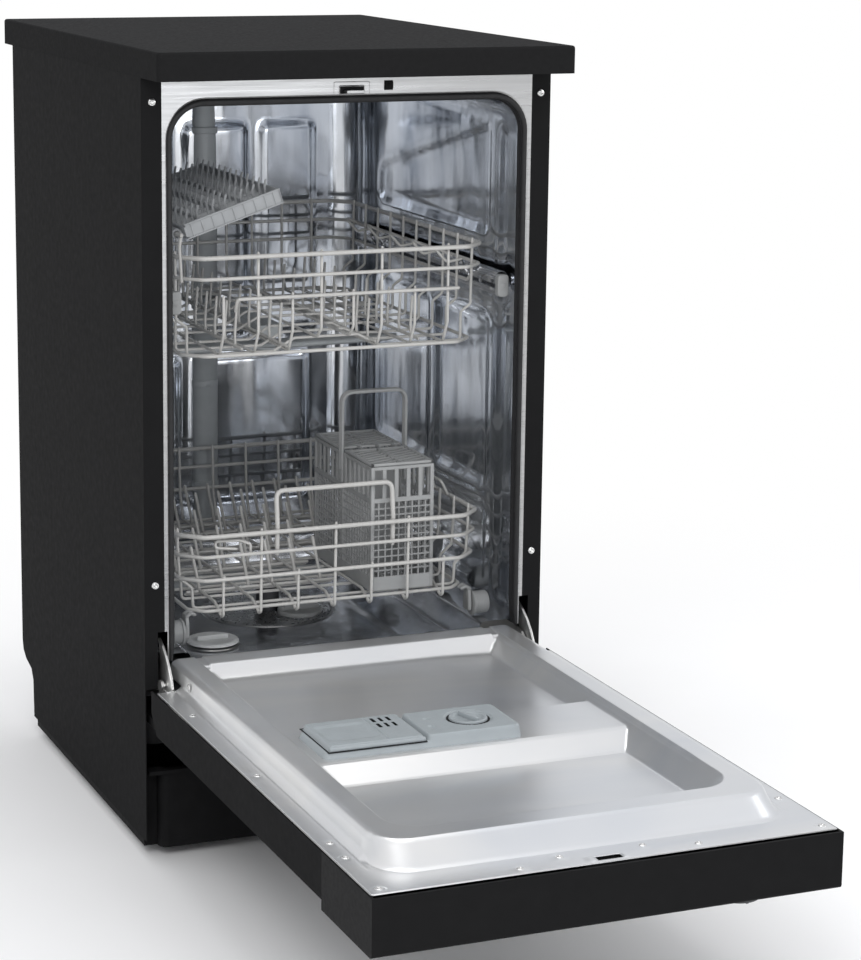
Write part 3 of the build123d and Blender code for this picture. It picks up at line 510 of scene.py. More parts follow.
def liner_z(X, Y):
    # outer wall: from the foot outline up to the top outline, leaning back at the front
    dB = -sd_rect(X, Y, RH, -827, 0, 32)
    dT = sd_rect(X, Y, RH - 2.6, -805, 0, 35)
    t = np.where(dB < 0, dB / 12.0, np.where(dT < 0, 1 - dT / 12.0, dB / np.maximum(dB + dT, 1e-6)))
    run = np.clip(dB + dT, 2.6, 24)
    k = 21 * np.clip(3.4 / run, 0.16, 0.75)
    z = FLG + 21 * t
    z = smin(z, np.full_like(z, RIM), k)
    z = smax(z, np.full_like(z, FLG), k * 1.15)
    # inner pan: wall leans in from the top edge to the low floor
    hi = 168.0
    top = -sd_rect(X, Y, hi, -778, -259, 34)
    wall = RIM - top * (24.0 / 21.0)
    # levels along the pan
    ya = np.array([-900, -603, -599, -579, -574, -490, -486, -481, -477, -200.0])
    za = np.array([LOW, LOW, LOW + 1.6, SHELF - 1.6, SHELF, SHELF, SHELF - 1.4, UPPER + 1.2, UPPER, UPPER])
    lev = np.interp(Y, ya, za)
    # slight tilt of the upper floor right of a crease
    lev = lev - np.where((Y > -481) & (X > 96), (X - 96) * 0.02, 0)
    pan = smax(wall, lev, 3.2)
    z = np.where(top > -6, smin(z, pan, 1.8), z)
    # wheel grooves next to the inner edge, running out towards the front
    gr = np.clip((np.abs(X) - 159.5) / 1.0, 0, 1) * np.clip((168.5 - np.abs(X)) / 1.0, 0, 1) * np.clip((Y + 702) / 6.0, 0, 1)
    z = z - 1.5 * gr * np.clip((z - 209) / 3, 0, 1)
    # raised pads round the screws and the latch slot
    for sx in (-1, 1):
        for y in (-360, -552, -740, -777):
            d = np.hypot(X - sx * 212, (Y - y))
            z = z + 0.55 * np.clip((7.2 - d) / 1.6, 0, 1)
    for x, y in ((-212, -853), (-83, -853), (-40, -840), (40, -840), (88, -853), (212, -853)):
        d = np.hypot(X - x, Y - y)
        z = z + 0.55 * np.clip((7.2 - d) / 1.6, 0, 1)
    dx, dy = np.abs(X) - 21, np.abs(Y + 853.5) - 6.2
    z = z + 0.8 * np.clip(-np.maximum(dx, dy) / 1.3, 0, 1)
    # long shallow bead on the flange beside the rim foot
    z = z - 0.5 * np.exp(-((np.abs(X) - 203.5) / 1.5) ** 2) * np.clip((Y + 812) / 8, 0, 1)
    return z


half = steps((0, 15, 3), (15, 17, 1), (17, 96, 3.9), (96, 100, 1), (100, 139, 3), (139, 158, 1.2), (158, 170, 0.55), (170, 190, 2), (190, 198.6, 0.43), (198.6, 206, 1.2), (206, 222, 1.0))
xs = np.concatenate([-half[::-1][:-1], half])
ys = steps((-862, -846, 1.0), (-846, -830, 2.0), (-830, -800, 1.0), (-800, -780, 1.6), (-780, -752, 0.8), (-752, -604, 4), (-604, -572, 0.9), (-572, -492, 4),
           (-492, -475, 0.8), (-475, -266, 4.5), (-266, -254, 0.8), (-254, -233, 3))


def liner_keep(x, y):
    if y > -276 and abs(x) > 196.4:
        return False
    if abs(x) < 10.6 and -858.8 < y < -851.0:
        return False
    if -145.5 < x < 46.5 and -564 < y < -500:
        return False
    return True


lin = grid(xs, ys, liner_z, liner_keep)
lin.obj("liner_sheet", m_liner, "door", ["door_liner"], "frame_steel", angle=60, thick=0.9, weld=False, recalc=False)
# turned-down hem along the flange edges
hm = G()
hm.tube(fil([(-222, -276.5, 192.2), (-222, -862, 192.2), (222, -862, 192.2), (222, -276.5, 192.2)], 2, 3), 0.75, 8)
hm.obj("liner_hem", m_frame, "door", (), "frame_steel")


def screw_head(g, c, axis, r=4.0, h=2.0, sgn=1):
    """Domed cross-recess head."""
    n = 24
    rows = []
    for k in range(n + 1):
        a = 2 * math.pi * (k % n) / n
        row = []
        for fr, fh in ((1.0, 0.0), (1.0, 0.35), (0.86, 0.72), (0.6, 0.93), (0.40, 1.0), (0.0, 1.0)):
            rr, hh = fr * r, fh * h
            if fr < 0.5:
                lobe = abs(math.cos(2 * a)) > 0.80
                hh = h * (0.45 if lobe else 0.97) if fr < 0.1 or lobe else h
                if fr < 0.1:
                    hh = h * 0.4
            p, q = rr * math.cos(a), rr * math.sin(a)
            d = {"z": (p, q, sgn * hh), "y": (p, sgn * hh, q), "x": (sgn * hh, p, q)}[axis]
            row.append((c[0] + d[0], c[1] + d[1], c[2] + d[2]))
        rows.append(row)
    g.loft(rows)


sg = G()
for sx in (-1, 1):
    for y in (-360, -552, -740, -777):
        screw_head(sg, (sx * 212, y, 193.5), "z", 3.6, 1.1)
for x, y in ((-212, -853), (-83, -853), (-40, -840), (40, -840), (88, -853), (212, -853)):
    screw_head(sg, (x, y, 193.5), "z", 3.6, 1.1)
sg.obj("door_screw_heads", m_screw, "door", ["door_screws"], "screw_steel", angle=30)

# screws on the rim's side wall near the hinge
sw = G()
for sx in (-1, 1):
    screw_head(sw, (sx * 196.2, -300, 203), "x", 4.2, 1.0, sx)
sw.obj("rim_side_screws", m_screw, "door", (), "screw_steel", angle=30)

# latch mouth below the slot
lt = G()
lt.box(-15.5, 15.5, -861, -849, 184, 186, 0.5)
lt.box(-15.5, -12.5, -861, -849, 186, 191.6, 0.3)
lt.box(12.5, 15.5, -861, -849, 186, 191.6, 0.3)
lt.box(-4, 4, -853.2, -851.2, 186, 190.4, 0.5)
lt.box(-11.5, -9.8, -858.4, -852, 186, 190.6, 0.4)
lt.box(9.8, 11.5, -858.4, -852, 186, 190.6, 0.4)
lt.obj("latch_mouth", m_bplastic, "door", (), "black_plastic")

# ------------------------------------------------------------------ tub: arch of polished steel with pressed panels
THW, TTOP = 198.5, 795.0


def arch(inset, z0=213.5, R0=40.0):
    """Points of the tub's section from the left foot over the roof to the right foot, with outward normals."""
    hw, top = THW - inset, TTOP - inset
    R = max(R0 - inset, 0.02)
    pts = []
    for z in np.linspace(z0, top - R, 92):
        pts.append((-hw, z, -1.0, 0.0))
    for a in np.linspace(0, math.pi / 2, 12)[1:-1]:
        pts.append((-hw + R - R * math.cos(a), top - R + R * math.sin(a), -math.cos(a), math.sin(a)))
    for x in np.linspace(-hw + R, hw - R, 44):
        pts.append((x, top, 0.0, 1.0))
    for a in np.linspace(math.pi / 2, 0, 12)[1:-1]:
        pts.append((hw - R + R * math.cos(a), top - R + R * math.sin(a), math.cos(a), math.sin(a)))
    for z in np.linspace(top - R, z0, 92):
        pts.append((hw, z, 1.0, 0.0))
    return pts


def boxbump(u, v, u0, u1, v0, v1, soft):
    """Soft rectangle: 1 inside, 0 outside."""
    a = np.clip((u - u0) / soft + 0.5, 0, 1) * np.clip((u1 - u) / soft + 0.5, 0, 1)
    b = np.clip((v - v0) / soft + 0.5, 0, 1) * np.clip((v1 - v) / soft + 0.5, 0, 1)
    s = a * b
    return s * s * (3 - 2 * s)


def side_emboss(y, z):
    """How far the side wall is pressed outwards at a point."""
    e = 0.0
    e += 3.6 * float(boxbump(y, z, -222, -176, 232, 752, 22))
    zt = 744 - (y + 120) * 0.24
    e += 3.6 * float(boxbump(y, z, -146, 168, 634, zt, 16))
    zb = 604 - (y + 120) * 0.02
    e += 1.2 * float(boxbump(y, z, -196, 186, 566, zb, 8))
    e += 3.4 * float(boxbump(y, z, -146, -8, 352, 540, 16))
    e += 3.4 * float(boxbump(y, z, 18, 168, 352, 540, 16))
    e += 2.6 * float(boxbump(y, z, -146, 168, 240, 328, 14))
    return e


g = G()
rows = []
EMB = [np.array([side_emboss(y, z) for z in np.linspace(213.5, TTOP - 40, 92)]) for y in np.linspace(-239, 199, 74)]
for iy, y in enumerate(np.linspace(-239, 199, 74)):
    A = arch(0)
    em = EMB[iy]
    row = []
    for k, (x, z, nx, nz) in enumerate(A):
        d = 0.0
        if k < 92:
            d = em[k]
        elif k >= len(A) - 92:
            d = em[::-1][k - (len(A) - 92)]
        elif nz == 1.0:
            d = 0.6 * float(boxbump(x, y, -120, 120, -180, 150, 20))
        row.append((x + nx * d, y, z + nz * d))
    rows.append(row)
for i in range(1, 13):
    a = math.pi / 2 * i / 12
    ins = 40 - 40 * math.cos(a)
    y = 199 + 40 * math.sin(a) - 0.0
    rows.append([(x, y, z) for x, z, nx, nz in arch(ins)])
g.loft(rows)
g.obj("tub_sides", m_tub, "cabinet", ["tub_shell"], "tub_steel", angle=75, weld=True)


def back_y(X, Z):
    e = 0.0
    e = e + 5.0 * boxbump(X, Z, -118, -42, 470, 720, 12)
    e = e + 5.0 * boxbump(X, Z, -24, 52, 470, 720, 12)
    e = e + 4.0 * boxbump(X, Z, 72, 138, 470, 720, 12)
    e = e + 4.5 * boxbump(X, Z, -130, -34, 262, 440, 12)
    e = e + 4.5 * boxbump(X, Z, -14, 130, 262, 440, 12)
    edge = np.clip((158.5 - np.abs(X)) / 8, 0, 1) * np.clip((755 - Z) / 8, 0, 1)
    return 239 - e * edge


bx = steps((-158.5, 158.5, 2.6))
bz = steps((213.5, 755, 3.6))
X, Z = np.meshgrid(bx, bz)
Y = back_y(X, Z)
g = G()
n = len(bx)
g.v = [tuple(map(float, p)) for p in np.stack([X.ravel(), Y.ravel(), Z.ravel()], 1)]
g.f = [(j * n + i, j * n + i + 1, (j + 1) * n + i + 1, (j + 1) * n + i) for j in range(len(bz) - 1) for i in range(n - 1)]
g.obj("tub_back", m_tub, "cabinet", (), "tub_steel", angle=75, weld=False)


# tub floor with its ledges and holes
def floor_z(X, Y):
    d = -sd_rect(X, Y, 168.4, -232, 225, 2)
    z = 214 - smin(np.maximum(d, 0) * 2.6, np.full_like(X, 29.0), 4)
    r = np.hypot(X, Y - 12)
    z = z - 0.9 * np.clip((84 - r) / 5, 0, 1)
    r2 = np.hypot(X + 104, Y + 100)
    z = z - 0.6 * np.clip((38 - r2) / 4, 0, 1)
    z = z + 1.8 * boxbump(X, Y, 96, 150, -150, 150, 16)
    return np.maximum(z, 185.2) + 0.0


def floor_keep(x, y):
    return math.hypot(x, y - 12) > 73.5 and math.hypot(x + 104, y + 100) > 26.5


fx = steps((-198.4, -168, 5), (-168, -150, 1.2), (-150, 150, 2.5), (150, 168, 1.2), (168, 198.4, 5))
fy = steps((-213.8, -195, 1.2), (-195, 210, 2.5), (210, 226, 1.2), (226, 239, 4))
grid(fx, fy, floor_z, floor_keep).obj("tub_floor_sheet", m_tubfloor, "cabinet", ["tub_floor"], "tub_steel", angle=60, weld=False)
g = G()
g.rev([(73.2, 183.5), (73.2, 185.6), (74.2, 186.4), (76.5, 186.2), (77.6, 184.9)], (0, 12, 0), "z", 56)
g.rev([(26.2, 182.0), (26.2, 185.8), (27.2, 186.6), (29.4, 186.3), (30.4, 184.9)], (-104, -100, 0), "z", 40)
g.obj("floor_rims", m_frame, "cabinet", (), "tub_steel")


# ------------------------------------------------------------------ gasket: bulb and lip swept round the mouth
def arch_path(hw, top, R, z0, n=12):
    p = []
    for z in np.linspace(z0, top - R, 30):
        p.append((-hw, z, (1, 0)))
    for a in np.linspace(0, math.pi / 2, n)[1:-1]:
        p.append((-hw + R - R * math.cos(a), top - R + R * math.sin(a), (math.cos(a), -math.sin(a))))
    for x in np.linspace(-hw + R, hw - R, 20):
        p.append((x, top, (0, -1)))
    for a in np.linspace(math.pi / 2, 0, n)[1:-1]:
        p.append((hw - R + R * math.cos(a), top - R + R * math.sin(a), (-math.cos(a), -math.sin(a))))
    for z in np.linspace(top - R, z0, 30):
        p.append((hw, z, (-1, 0)))
    return p


PROF = [(0.2, -227.5), (0.2, -241.6), (0.9, -243.2), (2.2, -243.9), (3.8, -243.6), (5.2, -242.4), (6.0, -240.4), (5.9, -238.6), (5.1, -237.2),
        (4.3, -236.3), (4.6, -234.6), (6.2, -232.8), (6.7, -231.2), (6.0, -229.8), (4.6, -229.2), (2.6, -229.4), (1.2, -228.2)]
g = G()
rows = []
for x, z, (nx, nz) in arch_path(198.2, 794.5, 41, 216):
    side = abs(nx)
    w = 1.0 + 0.28 * (1 - side) - 0.0
    k = np.clip((z - 216) / 20, 0, 1)
    w *= 0.62 + 0.38 * k
    rows.append([(x + nx * d * w, y, z + nz * d * w) for d, y in PROF])
g.loft(rows, closed=True)
g.obj("gasket_bulb", m_rubber, "cabinet", ["door_gasket"], "gasket_rubber", angle=50)
# mouth edge behind the gasket: the tub's lip, turned outwards, bright
g = G()
rows = []
for x, z, (nx, nz) in arch_path(199.5, 795.8, 42, 216):
    rows.append([(x + nx * d, y, z + nz * d) for d, y in ((-0.4, -240.6), (0.5, -241.3), (1.4, -241.0), (1.5, -240.0), (0.3, -239.6))])
g.loft(rows, closed=True)
g.obj("tub_lip", m_frame, "cabinet", (), "frame_steel")

# striker window and the sensor in the front frame
# dark block filling the striker window: painted shade standing in for the dark inside of the opening
g = G()
g.prism([(-13.4, 796.2), (13.4, 796.2), (13.4, 803.8), (-13.4, 803.8)], -240.2, -232, "y", 0.0)
g.obj("striker_pocket_painted_shade", m_painted_shade, "cabinet", (), "gasket_rubber")
g = G()
g.tube(fil([(-13.6, -241.3, 796.0), (13.6, -241.3, 796.0), (13.6, -241.3, 804.2), (-13.6, -241.3, 804.2)], 1.2, 3, True), 0.55, 8, closed=True)
g.tube(fil([(-19.5, -240.95, 794.9), (-19.5, -240.95, 808.2), (19.5, -240.95, 808.2), (19.5, -240.95, 794.9)], 1.6, 3), 0.42, 8)
g.obj("striker_edges", m_frame, "cabinet", (), "frame_steel")
g = G()
g.prism(fil([(35.9, 0, 799.4), (45.1, 0, 799.4), (45.1, 0, 808.6), (35.9, 0, 808.6)], 2.2, 4, True) and
        [(p[0], p[2]) for p in fil([(35.9, 0, 799.4), (45.1, 0, 799.4), (45.1, 0, 808.6), (35.9, 0, 808.6)], 2.2, 4, True)], -243.2, -235.5, "y", 0.8, 3)
g.rev([(0.01, -243.9), (1.6, -243.8), (2.2, -243.2)], (40.5, 0, 804.0), "y", 20)
g.obj("door_switch_cap", m_bplastic, "cabinet", ["door_switch"], "black_plastic")

# cabinet screws
g = G()
for sx in (-1, 1):
    for z in (792.3, 297):
        screw_head(g, (sx * 213, -241.1, z), "y", 3.9, 2.0, -1)
    for z in (780, 480, 180):
        screw_head(g, (sx * 216, 262.0, z), "y", 4.0, 2.1, 1)
g.obj("cabinet_screw_heads", m_screw, "cabinet", ["cabinet_screws"], "screw_steel", angle=30)

# ------------------------------------------------------------------ racks: bent coated wire
RF, RB, RW, CH = -208.0, 212.0, 171.0, 22.0


def front_u(g, x, zt, zb, yf=RF, yb=RB, r=1.6, jog=0.0, zj=0):
    """A wire up the front wall, along the floor and up the back wall."""
    g.tube(fil([(x, yf + 3.2, zt), (x, yf + 3.2, zb), (x, yb - 3.2, zb), (x, yb - 3.2, zt)], 7, 4), r, 8)


# upper rack ---------------------------------------------------------
w = G()
f = G()
w.tube(ring(RW, RF, RB, 628, CH, 12), 2.5, 10, closed=True)
w.tube(ring(RW - 0.5, RF + 0.8, RB - 0.8, 606, CH, 12), 2.0, 8, closed=True)
# third rail: sides and back; at the front a short bar with turned-up ends
w.tube(fil([(-RW + 1, RF + 40, 592), (-RW + 1, RF + 52, 584), (-RW + 1, RB - CH, 584), (-RW + CH, RB - 1, 584), (RW - CH, RB - 1, 584), (RW - 1, RB - CH, 584), (RW - 1, RF + 52, 584), (RW - 1, RF + 40, 592)], 9, 4), 2.0, 8)
w.tube(fil([(-RW + 60, RF + 9, 571), (-RW + 60, RF + 2, 584), (-RW + 68, RF + 1, 584), (RW - 34, RF + 1, 584)], 4, 3), 2.0, 8)
fr = ring(RW - 8, RF + 10, RB - 8, 524, CH, 12)
f.tube(fr, 2.0, 8, closed=True)
# side-to-side wires: up both sides with a jog outwards over the lower rail
for i in range(10):
    y = RF + CH + 14 + i * (RB - RF - 2 * CH - 28) / 9
    z0 = 521.0 + (4 if 2 < i < 7 else 0)
    xs_ = RW - 3.5
    p = [(-RW + 3.0, y, 631), (-xs_, y, 600), (-xs_ + 0.5, y, 560), (-xs_ + 12, y, 552), (-xs_ + 12, y, z0), (-60, y, z0), (-36, y, z0 + 13), (36, y, z0 + 13), (60, y, z0),
         (xs_ - 12, y, z0), (xs_ - 12, y, 552), (xs_ - 0.5, y, 560), (xs_, y, 600), (RW - 3.0, y, 631)]
    w.tube(fil(p, 5, 3), 1.6, 8)
# front-to-back wires
for x in (-126, -88, -50, -18, 18, 50, 88, 126):
    z0 = 524.5 if abs(x) > 40 else 537.5
    zt = 631 if x in (-88, -18, 50, 126) else 587
    p = [(x, RF + 3.5, zt), (x, RF + 3.5, 548), (x, RF + 16, z0), (x, RB - 18, z0), (x, RB - 3.5, 548), (x, RB - 3.5, 631)]
    f.tube(fil(p, 6, 4), 1.6, 8)
# leaning tines over two long base wires
for x in (-100, -50, 50, 100):
    f.tube([(x, RF + 22, 528), (x, RB - 24, 528)], 1.8, 8)
    for k in range(11):
        y = RF + 42 + k * 33
        f.tube(fil([(x, y, 527), (x, y + 1.5, 540), (x + 4, y + 7, 569)], 5, 3), 1.6, 8)
# small hooks on the right side for cups
for k in range(5):
    y = -150 + k * 66
    w.tube(fil([(RW - 6, y, 606), (RW - 22, y + 2, 603), (RW - 34, y + 3, 616), (RW - 26, y + 24, 616), (RW - 6, y + 26, 606)], 5, 3), 1.5, 8)
# pivot rod of the comb with its posts
w.tube([(-170, -200, 652), (-170, 64, 652)], 2.6, 10)
for y in (-198.5, -100, 20, 62):
    w.tube(fil([(-170, y, 651), (-171.5, y, 640), (-169.5, y, 604)], 3, 3), 1.8, 8)
w.obj("upper_rack_wires", m_wire, "upper_rack", ["upper_rack_walls"], "wire_coating", angle=60, weld=False)
f.obj("upper_rack_floor_wires", m_wire, "upper_rack", ["upper_rack_floor"], "wire_coating", angle=60, weld=False)

# lower rack ---------------------------------------------------------
w = G()
f = G()
w.tube(ring(RW, RF, RB, 334, CH, 14), 2.5, 10, closed=True)
w.tube(ring(RW - 1.0, RF + 1.5, RB - 1.5, 312, CH, 14), 2.0, 8, closed=True)
w.tube(ring(RW - 2.5, RF + 4, RB - 4, 286, CH, 14), 2.2, 8, closed=True)
f.tube(ring(RW - 14, RF + 18, RB - 14, 249, CH - 6, 10), 2.0, 8, closed=True)
for i in range(10):
    y = RF + CH + 12 + i * (RB - RF - 2 * CH - 24) / 9
    a = RW - 3.4
    p = [(-a, y, 337), (-a + 0.6, y, 312), (-a + 2.6, y, 283), (-a + 16, y, 272), (-a + 17, y, 249.2), (a - 17, y, 249.2), (a - 16, y, 272), (a - 2.6, y, 283), (a - 0.6, y, 312), (a, y, 337)]
    w.tube(fil(p, 5, 3), 1.7, 8)
for x in (-126, -84, -42, 0, 42, 84, 126):
    zt = 337 if x in (-84, 0, 84) else 289
    p = [(x, RF + 3.4, zt), (x, RF + 5.4, 283), (x, RF + 6, 247), (x, RF + 12, 243.5), (x, RF + 20, 248), (x, RF + 34, 254), (x, RB - 16, 252.0), (x, RB - 6, 283), (x, RB - 3.4, 337)]
    w.tube(fil(p, 4, 3), 1.7, 8)
# rows of leaning tines on pairs of long wires
for y in (-120, -40, 40, 120, 160):
    x0, x1 = (-140, 28) if y < 0 else (-140, 140)
    f.tube([(x0, y - 2.2, 252.5), (x1, y - 2.2, 252.5)], 1.9, 8)
    f.tube([(x0, y + 4, 248.6), (x1, y + 4, 248.6)], 1.6, 8)
    xs_ = list(range(-126, 15, 28)) + ([] if y < 0 else list(range(42, 127, 28)))
    for x in xs_:
        f.tube(fil([(x, y + 6, 250), (x, y - 1, 255.5), (x - 10, y - 3, 302)], 4, 3), 1.9, 8)
# front loop handle, leaning in
w.tube(fil([(-66, RF + 5.5, 309), (-66, RF + 4.6, 340), (-66, RF + 9, 376), (66, RF + 9, 376), (66, RF + 4.6, 340), (66, RF + 5.5, 309)], 9, 5), 2.6, 10)
# small loops between the rails at the front left and on the right side
w.tube(fil([(-112, RF + 5, 318), (-134, RF + 8, 320), (-134, RF + 8, 327), (-108, RF + 5, 327), (-96, RF + 5, 322), (-96, RF + 5.5, 309)], 3, 3), 1.6, 8)
for k in range(3):
    y = -120 + k * 110
    w.tube(fil([(RW - 5, y, 337), (RW - 12, y + 2, 352), (RW - 12, y + 34, 352), (RW - 5, y + 36, 337)], 6, 4), 1.7, 8)
w.obj("lower_rack_wires", m_wire, "lower_rack", ["lower_rack_walls"], "wire_coating", angle=60, weld=False)
f.obj("lower_rack_floor_wires", m_wire, "lower_rack", ["lower_rack_floor"], "wire_coating", angle=60, weld=False)

# wheel carriers -------------------------------------------------------
g = G()
WY = (-186, -84, 70, 172)
for sx in (-1, 1):
    for y in WY:
        pts = fil([(y - 8.5, 0, 221), (y + 8.5, 0, 221), (y + 7, 0, 240), (y + 5, 0, 248), (y - 5, 0, 248), (y - 7, 0, 240)], 3.5, 4, True)
        g.prism([(p[0], p[2]) for p in pts], sx * 160.8, sx * 164.6, "x", 0.8, 2)
        g.rev([(0.01, 0), (5.4, 0), (6.0, 0.6), (6.0, 1.6), (4.2, 2.2), (4.2, 9.4)], (sx * 160.8, y, 228.7), "x", 24) if sx > 0 else \
            g.rev([(0.01, 0), (5.4, 0), (6.0, -0.6), (6.0, -1.6), (4.2, -2.2), (4.2, -9.4)], (sx * 160.8, y, 228.7), "x", 24)
        g.tube(fil([(sx * 163, y - 5, 246), (sx * 158.5, y - 4.5, 249), (sx * 154, y - 4, 247)], 2, 3), 2.0, 8)
        g.tube(fil([(sx * 163, y + 5, 246), (sx * 158.5, y + 4.5, 249), (sx * 154, y + 4, 247)], 2, 3), 2.0, 8)
g.obj("wheel_carrier_clips", m_grey, "lower_rack", ["wheel_carriers"], "grey_plastic")

# wheels ---------------------------------------------------------------
for i, y in enumerate(WY):
    g = G()
    for sx in (-1, 1):
        c = (0, y, 228.7)
        X0, X1 = sx * 166.0, sx * 184.8
        s = sx
        prof = [(5.2, X0), (12.9, X0), (13.9, X0 + s * 0.5), (13.9, X0 + s * 2.6), (13.1, X0 + s * 3.0), (12.4, X0 + s * 3.4), (12.4, X1 - s * 1.0), (11.8, X1 - s * 0.2), (10.9, X1),
                (10.3, X1 - s * 0.6), (10.1, X1 - s * 12.5), (4.6, X1 - s * 12.5)]
        g.rev(prof, c, "x", 40, close=True)
        g.rev([(0.01, X1 - s * 0.9), (2.2, X1 - s * 1.0), (2.9, X1 - s * 1.6), (3.1, X1 - s * 12.6)], c, "x", 28)
        for k in range(10):
            a = 2 * math.pi * k / 10
            d, nrm = (math.cos(a), math.sin(a)), (-math.sin(a), math.cos(a))
            th = 0.55
            vs = []
            for xx in (X1 - s * 12.6, X1 - s * 1.2):
                for rr, sd in ((2.7, -1), (10.5, -1), (10.5, 1), (2.7, 1)):
                    vs.append((xx, c[1] + rr * d[0] + sd * th * nrm[0], c[2] + rr * d[1] + sd * th * nrm[1]))
            g.add(vs, [(0, 1, 2, 3), (7, 6, 5, 4), (0, 4, 5, 1), (2, 6, 7, 3), (1, 5, 6, 2), (0, 3, 7, 4)])
    g.obj("rack_wheels_%d" % (i + 1), m_grey, "wheels_row_%d" % (i + 1), ["wheels_row_%d" % (i + 1)], "grey_plastic", angle=35)

# telescopic rails -------------------------------------------------------


def cprof(xo, xi, z0, z1, lip, t=1.2):
    """C section open towards xi."""
    s = 1 if xi > xo else -1
    p = [(xi, z0 + lip), (xi, z0), (xo, z0), (xo, z1), (xi, z1), (xi, z1 - lip), (xi - s * t, z1 - lip), (xi - s * t, z1 - t), (xo + s * t, z1 - t), (xo + s * t, z0 + t), (xi - s * t, z0 + t), (xi - s * t, z0 + lip)]
    q = fil([(a, 0, b) for a, b in p], 1.0, 3, True)
    return [(a[0], a[2]) for a in q]


g1, g2, g3 = G(), G(), G()
for sx in (-1, 1):
    for gg, (xo, xi, z0, z1, lip, y0, y1) in ((g1, (192, 182, 573, 599, 5, -208, 222)), (g2, (189.8, 181.2, 575.6, 596.4, 4.5, -210, 214)), (g3, (187.6, 178.8, 577.8, 594.2, 4, -212, 206))):
        pr = cprof(sx * xo, sx * xi, z0, z1, lip)
        gg.loft([[(x, y, z) for x, z in pr] for y in (y0, y0 + 0.6, y1 - 0.6, y1)], closed=True)
    for y in (-180, -60, 60, 180):
        g1.rev([(0.01, sx * 190.4), (3.0, sx * 190.4), (3.6, sx * 190.9), (3.6, sx * 191.2)], (0, y, 586), "x", 20)
        g1.rev([(0.01, sx * 198.4), (6.5, sx * 198.4), (6.5, sx * 193), (5.2, sx * 191.8)], (0, y, 586), "x", 24)
    g3.rev([(0.01, sx * 178.9), (3.4, sx * 178.9), (4.2, sx * 179.5)], (0, -170, 586), "x", 20)
    for y0, y1 in ((-150, -110), (100, 140)):
        g3.tube(fil([(sx * 179.0, y0 + 6, 586), (sx * 172.8, y0 + 8, 596), (sx * 172.4, y0 + 20, 604), (sx * 172.8, y1 - 8, 596), (sx * 179.0, y1 - 6, 586)], 4, 4), 1.9, 8)
    for k in range(9):
        yy = -160 + k * 40
        g2.rev([(0.01, sx * 186.4), (1.5, sx * 186.2), (2.2, sx * 185)], (0, yy, 590.8), "x", 14)
g1.obj("rail_channels", m_chrome, "cabinet", ["upper_rail_channels"], "chrome_steel")
g2.obj("rail_middle_members", m_chrome, "rail_middles", ["upper_rail_middles"], "chrome_steel")
g3.obj("rack_slide_bars", m_chrome, "upper_rack", ["upper_rack_rails"], "chrome_steel")
g = G()
for sx in (-1, 1):
    pts = fil([(sx * 176.6, 0, 574), (sx * 189.4, 0, 574), (sx * 189.4, 0, 598), (sx * 176.6, 0, 598)], 4.5, 5, True)
    g.prism([(p[0], p[2]) for p in pts], -222.2, -213.6, "y", 1.6, 4)
    g.box(sx * 183 - 4.2, sx * 183 + 4.2, -214.2, -211.0, 579, 593, 1.0)
    g.box(sx * 183 - 3.4, sx * 183 + 3.4, -222.6, -221.8, 583, 589, 0.3)
g.obj("rail_caps", m_grey, "upper_rack", ["rail_end_caps"], "grey_plastic")

# ------------------------------------------------------------------ comb shelf
TL = math.radians(18)
MC = Matrix.Translation(Vector((-170, 0, 652))) @ Matrix.Rotation(-TL, 4, "Y")     # local +x runs along the shelf, tilted up
g = G()


def cb(x0, x1, y0, y1, z0, z1, r=0.8):
    g.box(x0, x1, y0, y1, z0, z1, r, 2, MC)


cb(8, 116, -196, -193.8, -6.5, 8.5, 0.7)      # front face
cb(8, 116, 57.8, 60, -6.5, 8.5, 0.7)
cb(6.2, 8.6, -196, 60, -5, 6, 0.7)
cb(113.8, 116.4, -196, 60, -6.5, 8.5, 0.8)
for x in (14, 26, 38, 50, 62, 74, 86, 98, 108):
    cb(x - 0.6, x + 0.6, -197.0, -195.5, -6.0, 8.0, 0.3)
cb(7.0, 116.6, -197.2, -193.4, 7.4, 9.2, 0.7)
cb(7.0, 116.6, -197.2, -193.4, -7.4, -5.8, 0.7)
for x in (34, 60, 86):
    cb(x - 1.2, x + 1.2, -194, 58, -5.5, 1.5, 0.6)
yy = -176.0
while yy < 56:
    cb(8, 115, yy - 1.0, yy + 1.0, -5.2, 0.6, 0.5)
    for x in (16, 28, 46, 60, 78, 92, 106):
        a0 = MC @ Vector((x, yy, 0))
        a1 = MC @ Vector((x + 1.6, yy, 12))
        a2 = MC @ Vector((x + 4.6, yy - 0.5, 17.5))
        g.tube([tuple(a0), tuple(a1), tuple(a2)], 1.35, 8)
    yy += 18.5
for y0, y1 in ((-186, -162), (-140, -114), (-66, -40), (30, 54)):
    n_ = 22
    rows = []
    for a in np.linspace(math.radians(-40), math.radians(250), 16):
        rows.append([(-170 + rr * math.cos(a), yk, 652 + rr * math.sin(a)) for rr, yk in ((3.3, y0), (5.3, y0), (5.6, y0 + 0.6), (5.6, y1 - 0.6), (5.3, y1), (3.3, y1))])
    g.loft(rows, closed=True)
    cb(3.0, 9.5, y0 + 3, y1 - 3, -3.6, 2.2, 0.7)
g.obj("comb_shelf_grid", m_comb, "comb_shelf", ["comb_shelf"], "grey_plastic", angle=40)

# ------------------------------------------------------------------ cutlery basket
g = G()
X0, X1, Y0, Y1 = 44.0, 117.0, -195.0, -22.0
ZB, ZT = 254.6, 391.6


